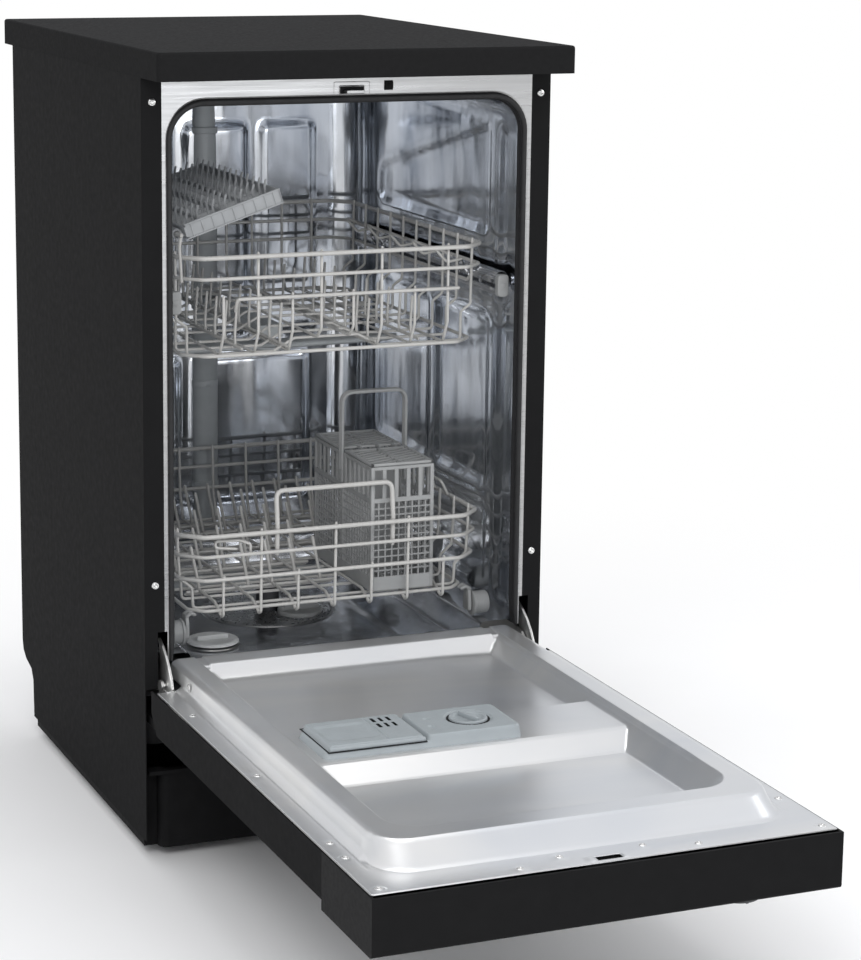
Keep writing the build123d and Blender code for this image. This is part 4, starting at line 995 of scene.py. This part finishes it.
def wall(x0, y0, x1, y1, n):
    """Lattice between two posts: band, fine grid, belt and a slotted skirt."""
    def bar(s0, s1, z0, z1, t=1.1):
        ax, ay = x0 + (x1 - x0) * s0, y0 + (y1 - y0) * s0
        bx_, by_ = x0 + (x1 - x0) * s1, y0 + (y1 - y0) * s1
        if abs(x1 - x0) > abs(y1 - y0):
            g.box(min(ax, bx_), max(ax, bx_), y0 - t, y0 + t, z0, z1, 0.35, 1)
        else:
            g.box(x0 - t, x0 + t, min(ay, by_), max(ay, by_), z0, z1, 0.35, 1)
    bar(0, 1, ZB, 270, 1.3)
    bar(0, 1, 352, 357, 1.6)
    bar(0, 1, 388, ZT, 1.5)
    for k in range(10):
        z = 276 + k * 7.6
        bar(0, 1, z, z + 1.9, 0.8)
    for k in range(n + 1):
        s = k / n
        h = 0.9 / abs((x1 - x0) + (y1 - y0))
        bar(max(0, s - h), min(1, s + h), 268, 353, 1.0)
    m_ = max(3, int(n * 0.62))
    for k in range(m_ + 1):
        s = k / m_
        h = 2.3 / abs((x1 - x0) + (y1 - y0))
        bar(max(0, s - h), min(1, s + h), 356, 389, 1.2)


wall(X0 + 1.5, Y0 + 1.5, X1 - 1.5, Y0 + 1.5, 9)
wall(X0 + 1.5, Y1 - 1.5, X1 - 1.5, Y1 - 1.5, 9)
wall(X0 + 1.5, Y0 + 1.5, X0 + 1.5, Y1 - 1.5, 22)
wall(X1 - 1.5, Y0 + 1.5, X1 - 1.5, Y1 - 1.5, 22)
for x in (X0 + 2, X1 - 2):
    for y in (Y0 + 2, (Y0 + Y1) / 2, Y1 - 2):
        g.box(x - 2.2, x + 2.2, y - 2.2, y + 2.2, ZB, ZT, 1.0)
for k in range(14):
    y = Y0 + 6 + k * 12.4
    g.box(X0 + 1, X1 - 1, y - 1.1, y + 1.1, ZB + 0.2, ZB + 2.6, 0.4, 1)
for k in range(6):
    x = X0 + 8 + k * 11.6
    g.box(x - 1.1, x + 1.1, Y0 + 1, Y1 - 1, ZB + 0.2, ZB + 2.4, 0.4, 1)
g.box(X0 + 1, X1 - 1, -109.7, -107.3, ZB, 384, 0.5)
# arch handle across the basket
for y in (-111.6, -105.4):
    g.tube(fil([(X0 - 1.0, y, 360), (X0 - 1.0, y, 458), (X1 + 1.0, y, 458), (X1 + 1.0, y, 360)], 13, 7), 1.9, 8)
g.box(X0 + 12, X1 - 12, -112.2, -104.8, 456.6, 460.0, 1.2)
g.box(X0 - 2.4, X0 + 0.6, -112.6, -104.4, 358, 372, 1.0)
g.box(X1 - 0.6, X1 + 2.4, -112.6, -104.4, 358, 372, 1.0)
g.obj("basket_lattice", m_basket, "lower_rack", ["cutlery_basket"], "grey_plastic", angle=35, weld=False)

g = G()
g.box(X0 + 0.4, X1 - 0.4, Y0 + 0.4, Y0 + 4.0, 392.3, 395.4, 0.7)
g.box(X0 + 0.4, X1 - 0.4, Y1 - 4.0, Y1 - 0.4, 392.3, 395.4, 0.7)
for xa in (X0 + 0.4, X1 - 4.0):
    g.box(xa, xa + 3.6, Y0 + 0.4, -115.5, 392.3, 395.4, 0.7)
    g.box(xa, xa + 3.6, -101.8, Y1 - 0.4, 392.3, 395.4, 0.7)
for xa in (64.0, 86.0, 105.0):
    g.box(xa, xa + 3.2, -118.5, -99.0, 392.6, 395.2, 0.6)
g.box(X0 + 2, X1 - 2, -120.6, -116.4, 392.5, 395.2, 0.6)
g.box(X0 + 2, X1 - 2, -101.2, -97.0, 392.5, 395.2, 0.6)
g.box((X0 + X1) / 2 - 1.6, (X0 + X1) / 2 + 1.6, Y0 + 3, -118, 392.5, 395.2, 0.6)
g.box((X0 + X1) / 2 - 1.6, (X0 + X1) / 2 + 1.6, -99, Y1 - 3, 392.5, 395.2, 0.6)
for (ya, yb_) in ((Y0 + 3, -119), (-99, Y1 - 3)):
    for k in range(-6, 9):
        # slanted slats, clipped to the field
        yq = ya + k * 9.6
        pa, pb = (X0 + 3, yq), (X1 - 3, yq + 26)
        t0 = max(0, (ya - pa[1]) / (pb[1] - pa[1]))
        t1 = min(1, (yb_ - pa[1]) / (pb[1] - pa[1]))
        if t1 - t0 > 0.12:
            A = (pa[0] + (pb[0] - pa[0]) * t0, pa[1] + (pb[1] - pa[1]) * t0)
            B = (pa[0] + (pb[0] - pa[0]) * t1, pa[1] + (pb[1] - pa[1]) * t1)
            d = np.array([B[0] - A[0], B[1] - A[1]])
            d /= np.linalg.norm(d)
            nn = np.array([-d[1], d[0]]) * 0.95
            q = [(A[0] + nn[0], A[1] + nn[1]), (B[0] + nn[0], B[1] + nn[1]), (B[0] - nn[0], B[1] - nn[1]), (A[0] - nn[0], A[1] - nn[1])]
            g.prism(q, 392.8, 394.9, "z", 0.3, 1)
g.obj("basket_lid_grille", m_basket, "basket_lid", ["basket_lid"], "grey_plastic", angle=35, weld=False)

# ------------------------------------------------------------------ spray arms


def spray_arm(g, z0, z1, up=True):
    top = z1 if up else z0
    n = 44
    rows = []
    for k in range(n + 1):
        s = -1 + 2 * k / n
        x = 158 * s
        hw = 17 * math.sqrt(max(0.02, 1 - abs(s) ** 7)) * (0.80 + 0.26 * (1 - abs(s)))
        hw = max(hw, 3)
        off = 4.0 * s * s * (1 if s > 0 else -1)
        row = []
        for j in range(20):
            a = 2 * math.pi * j / 20
            ca, sa = math.cos(a), math.sin(a)
            yy_ = hw * (abs(ca) ** 0.6) * (1 if ca > 0 else -1)
            zz = (abs(sa) ** 0.8) * (1 if sa > 0 else -1)
            hz = (z1 - z0) / 2 * (0.78 if abs(s) < 0.93 else 0.6)
            row.append((x, 12 + off + yy_, (z0 + z1) / 2 + hz * zz))
        rows.append(row)
    g.loft(rows, closed=True)
    sg_ = 1 if up else -1
    g.rev([(0.01, top + sg_ * 0.2), (9, top + sg_ * 0.2), (11, top - sg_ * 0.6), (24, top - sg_ * 1.6), (25.8, top - sg_ * 3.4), (25.8, (z0 + z1) / 2)], (0, 12, 0), "z", 40)
    for x in (-146, -122, -96, -68, -40, 40, 68, 96, 122, 146):
        off = 4.0 * (x / 158) * abs(x / 158)
        zz = top - sg_ * ((z1 - z0) * 0.11)
        g.rev([(0.6, zz - 1.2 * sg_), (0.9, zz + 0.5 * sg_), (2.4, zz + 0.9 * sg_), (3.6, zz + 0.3 * sg_), (3.9, zz - 1.4 * sg_)], (x, 12 + off + (5 if x > 0 else -5), 0), "z", 18)


g = G()
spray_arm(g, 221.3, 231.8, True)
g.obj("lower_arm_shell", m_arm, "lower_spray_arm", ["lower_spray_arm"], "arm_plastic", angle=50)
g = G()
spray_arm(g, 489.3, 499.8, False)
g.obj("upper_arm_shell", m_arm, "upper_spray_arm", ["upper_spray_arm"], "arm_plastic", angle=50)

# duct up the back wall, ceiling nozzle, lower hub
g = G()
rows = []
for z, wd, dp in ((218.5, 9, 6), (221, 11.5, 9), (226, 13, 11), (245, 14.5, 12.5), (300, 15.5, 13.5), (500, 15.8, 13.8), (503, 18, 16), (521, 18, 16), (524, 15.8, 13.8), (700, 14.5, 12), (748, 12.5, 10), (757, 9, 7), (760, 5, 4)):
    row = []
    for k in range(25):
        a = math.pi * k / 24
        row.append((-wd * math.cos(a), 238.6 - dp * (math.sin(a) ** 0.7), z))
    rows.append(row)
g.loft(rows)
for z in (285, 410, 610, 715):
    rr = []
    for dz in (-4, -3.2, 3.2, 4):
        e_ = 1.0 if abs(dz) < 3.5 else 0.2
        rr.append([(-(15.2 + e_) * math.cos(math.pi * k / 24), 238.6 - (13.2 + e_) * (math.sin(math.pi * k / 24) ** 0.7), z + dz) for k in range(25)])
    g.loft(rr)
g.rev([(5.2, 238), (7.0, 226), (8.6, 225), (8.6, 221), (7.0, 220), (7.0, 219.2), (5.4, 219.2)], (0, 0, 512), "y", 28)
g.rev([(0.01, 787.0), (5.0, 786.2), (6.4, 787.2), (8.5, 786.4), (22.5, 787.6), (24.0, 788.8), (23.4, 790.0), (12.4, 790.6), (12.4, 794.6)], (0, 12, 0), "z", 40)
for k in range(10):
    a = 2 * math.pi * k / 10
    g.rev([(0.6, 786.4), (1.1, 786.0), (1.9, 786.6), (2.0, 787.4)], (16 * math.cos(a), 12 + 16 * math.sin(a), 0), "z", 12)
g.rev([(13.0, 219.2), (13.0, 221.0)], (0, 12, 0), "z", 32)
g.rev([(11.0, 232.2), (17.4, 232.5), (18.0, 233.4), (18.0, 235.0), (16.8, 236.0), (0.01, 236.2)], (0, 12, 0), "z", 36)
g.obj("spray_duct", m_arm, "cabinet", ["spray_feed_parts"], "arm_plastic", angle=45)

# ------------------------------------------------------------------ filter, twist cylinder and salt cap
def filt_z(X, Y):
    r = np.hypot(X, Y - 12)
    z = 185.4 + 1.4 * np.clip((r - 66) / 2, 0, 1) * np.clip((72.8 - r) / 1.0, 0, 1)
    hole = np.hypot(X - 30, Y + 14)
    z = z + 1.5 * np.exp(-((hole - 29.5) / 1.8) ** 2)
    z = z + 0.32 * (np.sin(X * 1.9) * np.sin(Y * 1.9)) * np.clip((64 - r) / 2, 0, 1) * np.clip((hole - 33) / 2, 0, 1)
    return z


grid(np.linspace(-72.7, 72.7, 150), np.linspace(-60.7, 84.7, 150), filt_z, lambda x, y: math.hypot(x, y - 12) < 72.8 and math.hypot(x - 30, y + 14) > 26.6 and math.hypot(x, y - 12) > 15.5
     ).obj("filter_sheet", m_filter, "cabinet", ["filter_plate"], "filter_steel", angle=60, weld=False)
g = G()
c = (30, -14, 0)
g.rev([(0.01, 189.3), (20.5, 189.3), (21.5, 190.0), (24.8, 190.0), (25.7, 189.2), (25.7, 184), (24.2, 183.4), (24.2, 150), (23.0, 148.5), (0.01, 148.5)], c, "z", 48)
for k in range(12):
    a = 2 * math.pi * k / 12
    g.rev([(0.8, 150), (1.1, 150.5), (1.1, 182.6), (0.8, 183)], (30 + 24.3 * math.cos(a), -14 + 24.3 * math.sin(a), 0), "z", 8)
g.box(10, 50, -16.2, -11.8, 189, 199.6, 1.8, 3)
g.box(6.6, 53.4, -15.4, -12.6, 189, 193.5, 1.0, 2)
g.obj("twist_filter_body", m_grey, "twist_filter", ["twist_filter"], "grey_plastic", angle=40)
g = G()
c = (-104, -100, 0)
g.rev([(0.01, 190.6), (21, 190.6), (22.4, 191.6), (25.6, 191.6), (27.6, 190.9), (28.8, 189.4), (28.8, 188.5), (26.2, 188.4)], c, "z", 48)
for k in range(24):
    a = 2 * math.pi * k / 24
    g.rev([(0.01, 190.9), (0.7, 190.7), (0.8, 188.6)], (-104 + 28.2 * math.cos(a), -100 + 28.2 * math.sin(a), 0), "z", 8)
g.box(-122, -86, -102.2, -97.8, 190, 195.8, 1.6, 3)
g.obj("salt_cap_body", m_white, "salt_cap", ["salt_cap"], "white_plastic", angle=40)

# ------------------------------------------------------------------ hinge levers: quarter-moon plates
g = G()
ARM = [(-420, 160), (-420, 186), (-276.5, 186), (-273, 194), (-269, 204), (-262, 214), (-252, 224), (-240, 232.5), (-228, 238), (-232, 222), (-235, 205), (-236.5, 190), (-240, 180), (-256, 176), (-275, 160)]
ap = fil([(a, 0, b) for a, b in ARM], [1, 1, 2, 12, 14, 16, 16, 16, 0.8, 14, 14, 14, 8, 8, 4], 4, True)
for sx in (-1, 1):
    g.prism([(p[0], p[2]) for p in ap], sx * 203.4, sx * 206.2, "x", 0.6, 2)
    g.box(min(sx * 203.2, sx * 213), max(sx * 203.2, sx * 213), -278.5, -266, 192.9, 194.3, 0.5)
g.obj("hinge_levers", m_galv, "door", ["hinge_arms"], "galvanised", angle=40)
g = G()
for sx in (-1, 1):
    g.rev([(0.01, sx * 211.0), (5.8, sx * 210.8), (7.0, sx * 210.0), (7.0, sx * 208.2), (4.0, sx * 207.8), (4.0, sx * 199.9)], (0, -248, 191), "x", 28)
g.obj("hinge_pin_heads", m_screw, "cabinet", (), "screw_steel")

# ------------------------------------------------------------------ detergent dispenser
DX0, DX1, DY0, DY1 = -151.5, 52.5, -570.0, -494.0


def disp_z(X, Y):
    cx0, cy0 = (DX0 + DX1) / 2, (DY0 + DY1) / 2
    qx, qy = np.abs(X - cx0) - (DX1 - DX0) / 2 + 8, np.abs(Y - cy0) - (DY1 - DY0) / 2 + 8
    d = -(np.minimum(np.maximum(qx, qy), 0) + np.hypot(np.maximum(qx, 0), np.maximum(qy, 0)) - 8)
    z = 206.6 + smin(np.maximum(d, 0) * 2.2, np.full_like(X, 6.0), 2.0)
    # raised field on the right, under the rinse-aid cap
    rx, ry = np.abs(X - 3.05) - 49.2 + 6, np.abs(Y + 532) - 36.6 + 6
    dd = -(np.minimum(np.maximum(rx, ry), 0) + np.hypot(np.maximum(rx, 0), np.maximum(ry, 0)) - 6)
    z = z + smin(np.maximum(dd, 0) * 3.0, np.full_like(X, 6.0), 2.0)
    # dish round the cap
    r = np.hypot(X - 11.5, Y + 530)
    z = z - 1.5 * np.clip((23.6 - r) / 1.6, 0, 1)
    # small pressed dimple and a line
    z = z - 1.0 * np.clip((3.4 - np.hypot(X + 29, Y + 522)) / 1.2, 0, 1)
    z = z - 1.0 * boxbump(X, Y, -36, -31, -549, -541, 1.6)
    return z


dx_ = steps((DX0, DX0 + 10, 0.7), (DX0 + 10, -48.5, 1.5), (-48.5, -42, 0.5), (-42, -36, 0.6), (-36, 44, 0.9), (44, DX1, 0.7))
dy_ = steps((DY0, DY0 + 10, 0.7), (DY0 + 10, DY1 - 10, 1.2), (DY1 - 10, DY1, 0.7))


def disp_keep(x, y):
    if -135.5 < x < -61.5 and -560 < y < -504:
        return False
    cxx, cyy = (DX0 + DX1) / 2, (DY0 + DY1) / 2
    qx, qy = abs(x - cxx) - (DX1 - DX0) / 2 + 8, abs(y - cyy) - (DY1 - DY0) / 2 + 8
    return min(max(qx, qy), 0) + math.hypot(max(qx, 0), max(qy, 0)) - 8 < 0.3


dg = grid(dx_, dy_, disp_z, disp_keep)
# cup below the lid
bm = bmesh.new()
cup = G()
top_ = [(p[0], p[1], 212.4) for p in fil([(-135.5, -560, 0), (-61.5, -560, 0), (-61.5, -504, 0), (-135.5, -504, 0)], 6, 5, True)]
cc = np.array([-98.5, -532])
rowsc = [top_]
for z, sc in ((205, 0.985), (190, 0.95), (180, 0.92), (178.2, 0.86)):
    rowsc.append([(cc[0] + (p[0] - cc[0]) * sc, cc[1] + (p[1] - cc[1]) * sc, z) for p in top_])
cup.loft(rowsc, closed=True, caps=(False, True))
dg.add(cup.v, cup.f)
# skirt down to the sheet
sk = fil([(DX0, DY0, 0), (DX1, DY0, 0), (DX1, DY1, 0), (DX0, DY1, 0)], 8, 6, True)
dg.loft([[(p[0], p[1], z) for p in sk] for z in (206.9, 205.2)], closed=True, caps=(False, False))
# rear housing behind the sheet
dg.box(DX0 + 8, DX1 - 8, DY0 + 7, DY1 - 6, 174.5, 176.5, 0.6)
dg.obj("dispenser_shell", m_disp, "door", ["dispenser_body"], "dispenser_plastic", angle=50, weld=False)
# dark slivers in the gaps round the lid and a dark ring round the cap dish: painted shade in the gaps
g = G()
g.box(-147.4, -136.2, -568.4, -490.2, 212.2, 212.9, 0.2)
g.box(-60.8, -46.9, -568.4, -490.2, 212.2, 212.9, 0.2)
g.box(-136.0, -61.0, -568.4, -560.6, 212.2, 212.9, 0.2)
g.box(-136.0, -61.0, -503.4, -490.2, 212.2, 212.9, 0.2)
g.rev([(21.4, 217.0), (21.2, 217.45), (19.1, 217.45), (19.0, 217.0)], (11.5, -530, 0), "z", 56)
g.obj("dispenser_gaps_painted_shade", m_painted_shade, "door", (), "gasket_rubber")

# lid
g = G()
LP = [(-146.1, -560), (-140, -567), (-48.4, -567), (-48.4, -493), (-138, -493), (-146.1, -500)]
lp = fil([(a, b, 0) for a, b in LP], [3, 3, 2, 2, 3, 3], 4, True)


def lid_z(X, Y):
    xm, ym = -97.2, -530
    rx, ry = np.abs(X - xm) - 48.9 + 5, np.abs(Y - ym) - 37 + 5
    d = -(np.minimum(np.maximum(rx, ry), 0) + np.hypot(np.maximum(rx, 0), np.maximum(ry, 0)) - 5)
    z = 213.2 + smin(np.maximum(d, 0) * 3.0, np.full_like(X, 5.2), 2.2)
    # thumb recess on the left part, and a long groove before the slots
    z = z - 1.6 * boxbump(X, Y, -140, -90, -552, -508, 7) * 0.8
    z = z - 0.9 * np.exp(-((X + 84.5) / 0.9) ** 2) * np.clip((d - 3) / 2, 0, 1)
    return z


def lid_keep(x, y):
    for k in range(3):
        if abs(x - (-78.5 + 8 * k)) < 1.75 and (-512 < y < -501 or -529 < y < -518):
            return False
    return -146.1 < x < -48.3 and -567 < y < -493


lx = steps((-146.1, -138, 0.7), (-138, -90, 1.3), (-90, -56, 0.45), (-56, -48.3, 0.7))
ly = steps((-567, -560, 0.7), (-560, -534, 1.3), (-534, -496, 0.6), (-496, -493, 0.6))
lg = grid(lx, ly, lid_z, lid_keep)
lg.loft([[(x, y, z) for x, y in ((-146.1, -567), (-48.3, -567), (-48.3, -493), (-146.1, -493))] for z in (213.3, 213.0)], closed=True, caps=(False, False))
lg.rev([(0.01, -145.8), (1.9, -145.8), (2.2, -145.3), (2.2, -49.6), (1.9, -49.0), (0.01, -49.0)], (0, -566.6, 215.4), "x", 24)
lg.obj("dispenser_lid_cover", m_disp, "dispenser_lid", ["dispenser_lid"], "dispenser_plastic", angle=50, weld=False)
# dark plate under the lid, seen through its slots and at its edges: painted shade
g = G()
g.box(-145.6, -48.8, -566.4, -493.6, 213.05, 214.1, 0.2)
g.obj("lid_underside_painted_shade", m_painted_shade, "dispenser_lid", (), "gasket_rubber")

# rinse-aid cap with its wing
g = G()
c = (11.5, -530, 0)
g.rev([(0.01, 217.5), (12.9, 217.5), (14.1, 218.3), (14.9, 219.2), (15.8, 219.5), (17.9, 219.5), (18.7, 219.0), (18.9, 218.0), (18.9, 216.9)], c, "z", 56)
WG = fil([(-1.3, -14.2, 0), (1.3, -14.2, 0), (2.3, 0, 0), (1.3, 14.2, 0), (-1.3, 14.2, 0), (-2.3, 0, 0)], 1.0, 3, True)
ca, sa = math.cos(math.radians(18)), math.sin(math.radians(18))
g.prism([(11.5 + p[0] * ca - p[1] * sa, -530 + p[0] * sa + p[1] * ca) for p in WG], 217.2, 222.0, "z", 0.8, 3)
for k in range(3):
    a = math.radians(100 + 120 * k)
    g.rev([(0.01, 219.9), (0.8, 219.8), (1.0, 219.2)], (11.5 + 16.8 * math.cos(a), -530 + 16.8 * math.sin(a), 0), "z", 12)
g.obj("rinse_cap_body", m_disp, "rinse_aid_cap", ["rinse_aid_cap"], "dispenser_plastic", angle=40)

# ------------------------------------------------------------------ floor, sizes, end
m_floor = mat("studio_floor", (0.92, 0.92, 0.92), 0.7, 0, 0.012, (3, 3, 3), 0.05, (20, 20, 20), spec=0.15)
# away from the object the floor turns into the same white as the backdrop
nt_ = m_floor.node_tree
b_ = nt_.nodes["Principled BSDF"]
tc_ = nt_.nodes.new("ShaderNodeTexCoord")
ln_ = nt_.nodes.new("ShaderNodeVectorMath")
ln_.operation = "LENGTH"
nt_.links.new(tc_.outputs["Object"], ln_.inputs[0])
mr_ = nt_.nodes.new("ShaderNodeMapRange")
mr_.interpolation_type = "SMOOTHSTEP"
mr_.inputs["From Min"].default_value, mr_.inputs["From Max"].default_value = 0.55, 1.7
mr_.inputs["To Min"].default_value, mr_.inputs["To Max"].default_value = 0.0, 1.0
nt_.links.new(ln_.outputs["Value"], mr_.inputs["Value"])
em_ = nt_.nodes.new("ShaderNodeEmission")
em_.inputs["Color"].default_value = (1, 1, 1, 1)
em_.inputs["Strength"].default_value = 1.0
ms_ = nt_.nodes.new("ShaderNodeMixShader")
nt_.links.new(mr_.outputs["Result"], ms_.inputs["Fac"])
nt_.links.new(b_.outputs["BSDF"], ms_.inputs[1])
nt_.links.new(em_.outputs["Emission"], ms_.inputs[2])
out_ = [n for n in nt_.nodes if n.type == "OUTPUT_MATERIAL"][0]
nt_.links.new(ms_.outputs["Shader"], out_.inputs["Surface"])
me = bpy.data.meshes.new("studio_floor")
S_ = 14.0
me.from_pydata([(-S_, -S_, 0), (S_, -S_, 0), (S_, S_, 0), (-S_, S_, 0)], [], [(0, 1, 2, 3)])
me.materials.append(m_floor)
floor = bpy.data.objects.new("studio_floor", me)
floor.location = (0, 0, LO0[2] - 0.0005)
scene.collection.objects.link(floor)

for n_, o_ in NODES.items():
    if o_.data.polygons and not o_.hide_render:
        o_.data.set_sharp_from_angle(angle=math.radians(35)) if any(p.use_smooth for p in o_.data.polygons) else None

for n_, w_, a_ in (("control_panel", 0.9, 50), ("door_outer_panel", 0.7, 50), ("plinth", 0.7, 50), ("base_tray", 0.7, 50),
                   ("program_knob", 0.8, 40), ("power_button", 0.6, 50), ("start_button", 0.6, 50), ("upper_feed_tube", 1.2, 40),
                   ("left_side_panel", 0.25, 50), ("right_side_panel", 0.25, 50), ("rear_panel", 0.25, 50), ("sump", 1.2, 45), ("water_jacket", 1.0, 50),
                   ("circulation_pump", 1.0, 45), ("drain_pump", 0.8, 45), ("salt_tank", 1.0, 45), ("counterweight", 2.0, 50), ("levelling_feet", 0.6, 45),
                   ("latch_striker", 0.25, 50), ("door_latch", 0.5, 50), ("inlet_and_outlet_fittings", 0.6, 45), ("heater", 0.8, 45)):
    bv = NODES[n_].modifiers.new("soft_edge", "BEVEL")
    bv.width = w_ / 1000.0
    bv.segments = 2
    bv.limit_method = "ANGLE"
    bv.angle_limit = math.radians(a_)
    bv.harden_normals = False
    bv.use_clamp_overlap = True
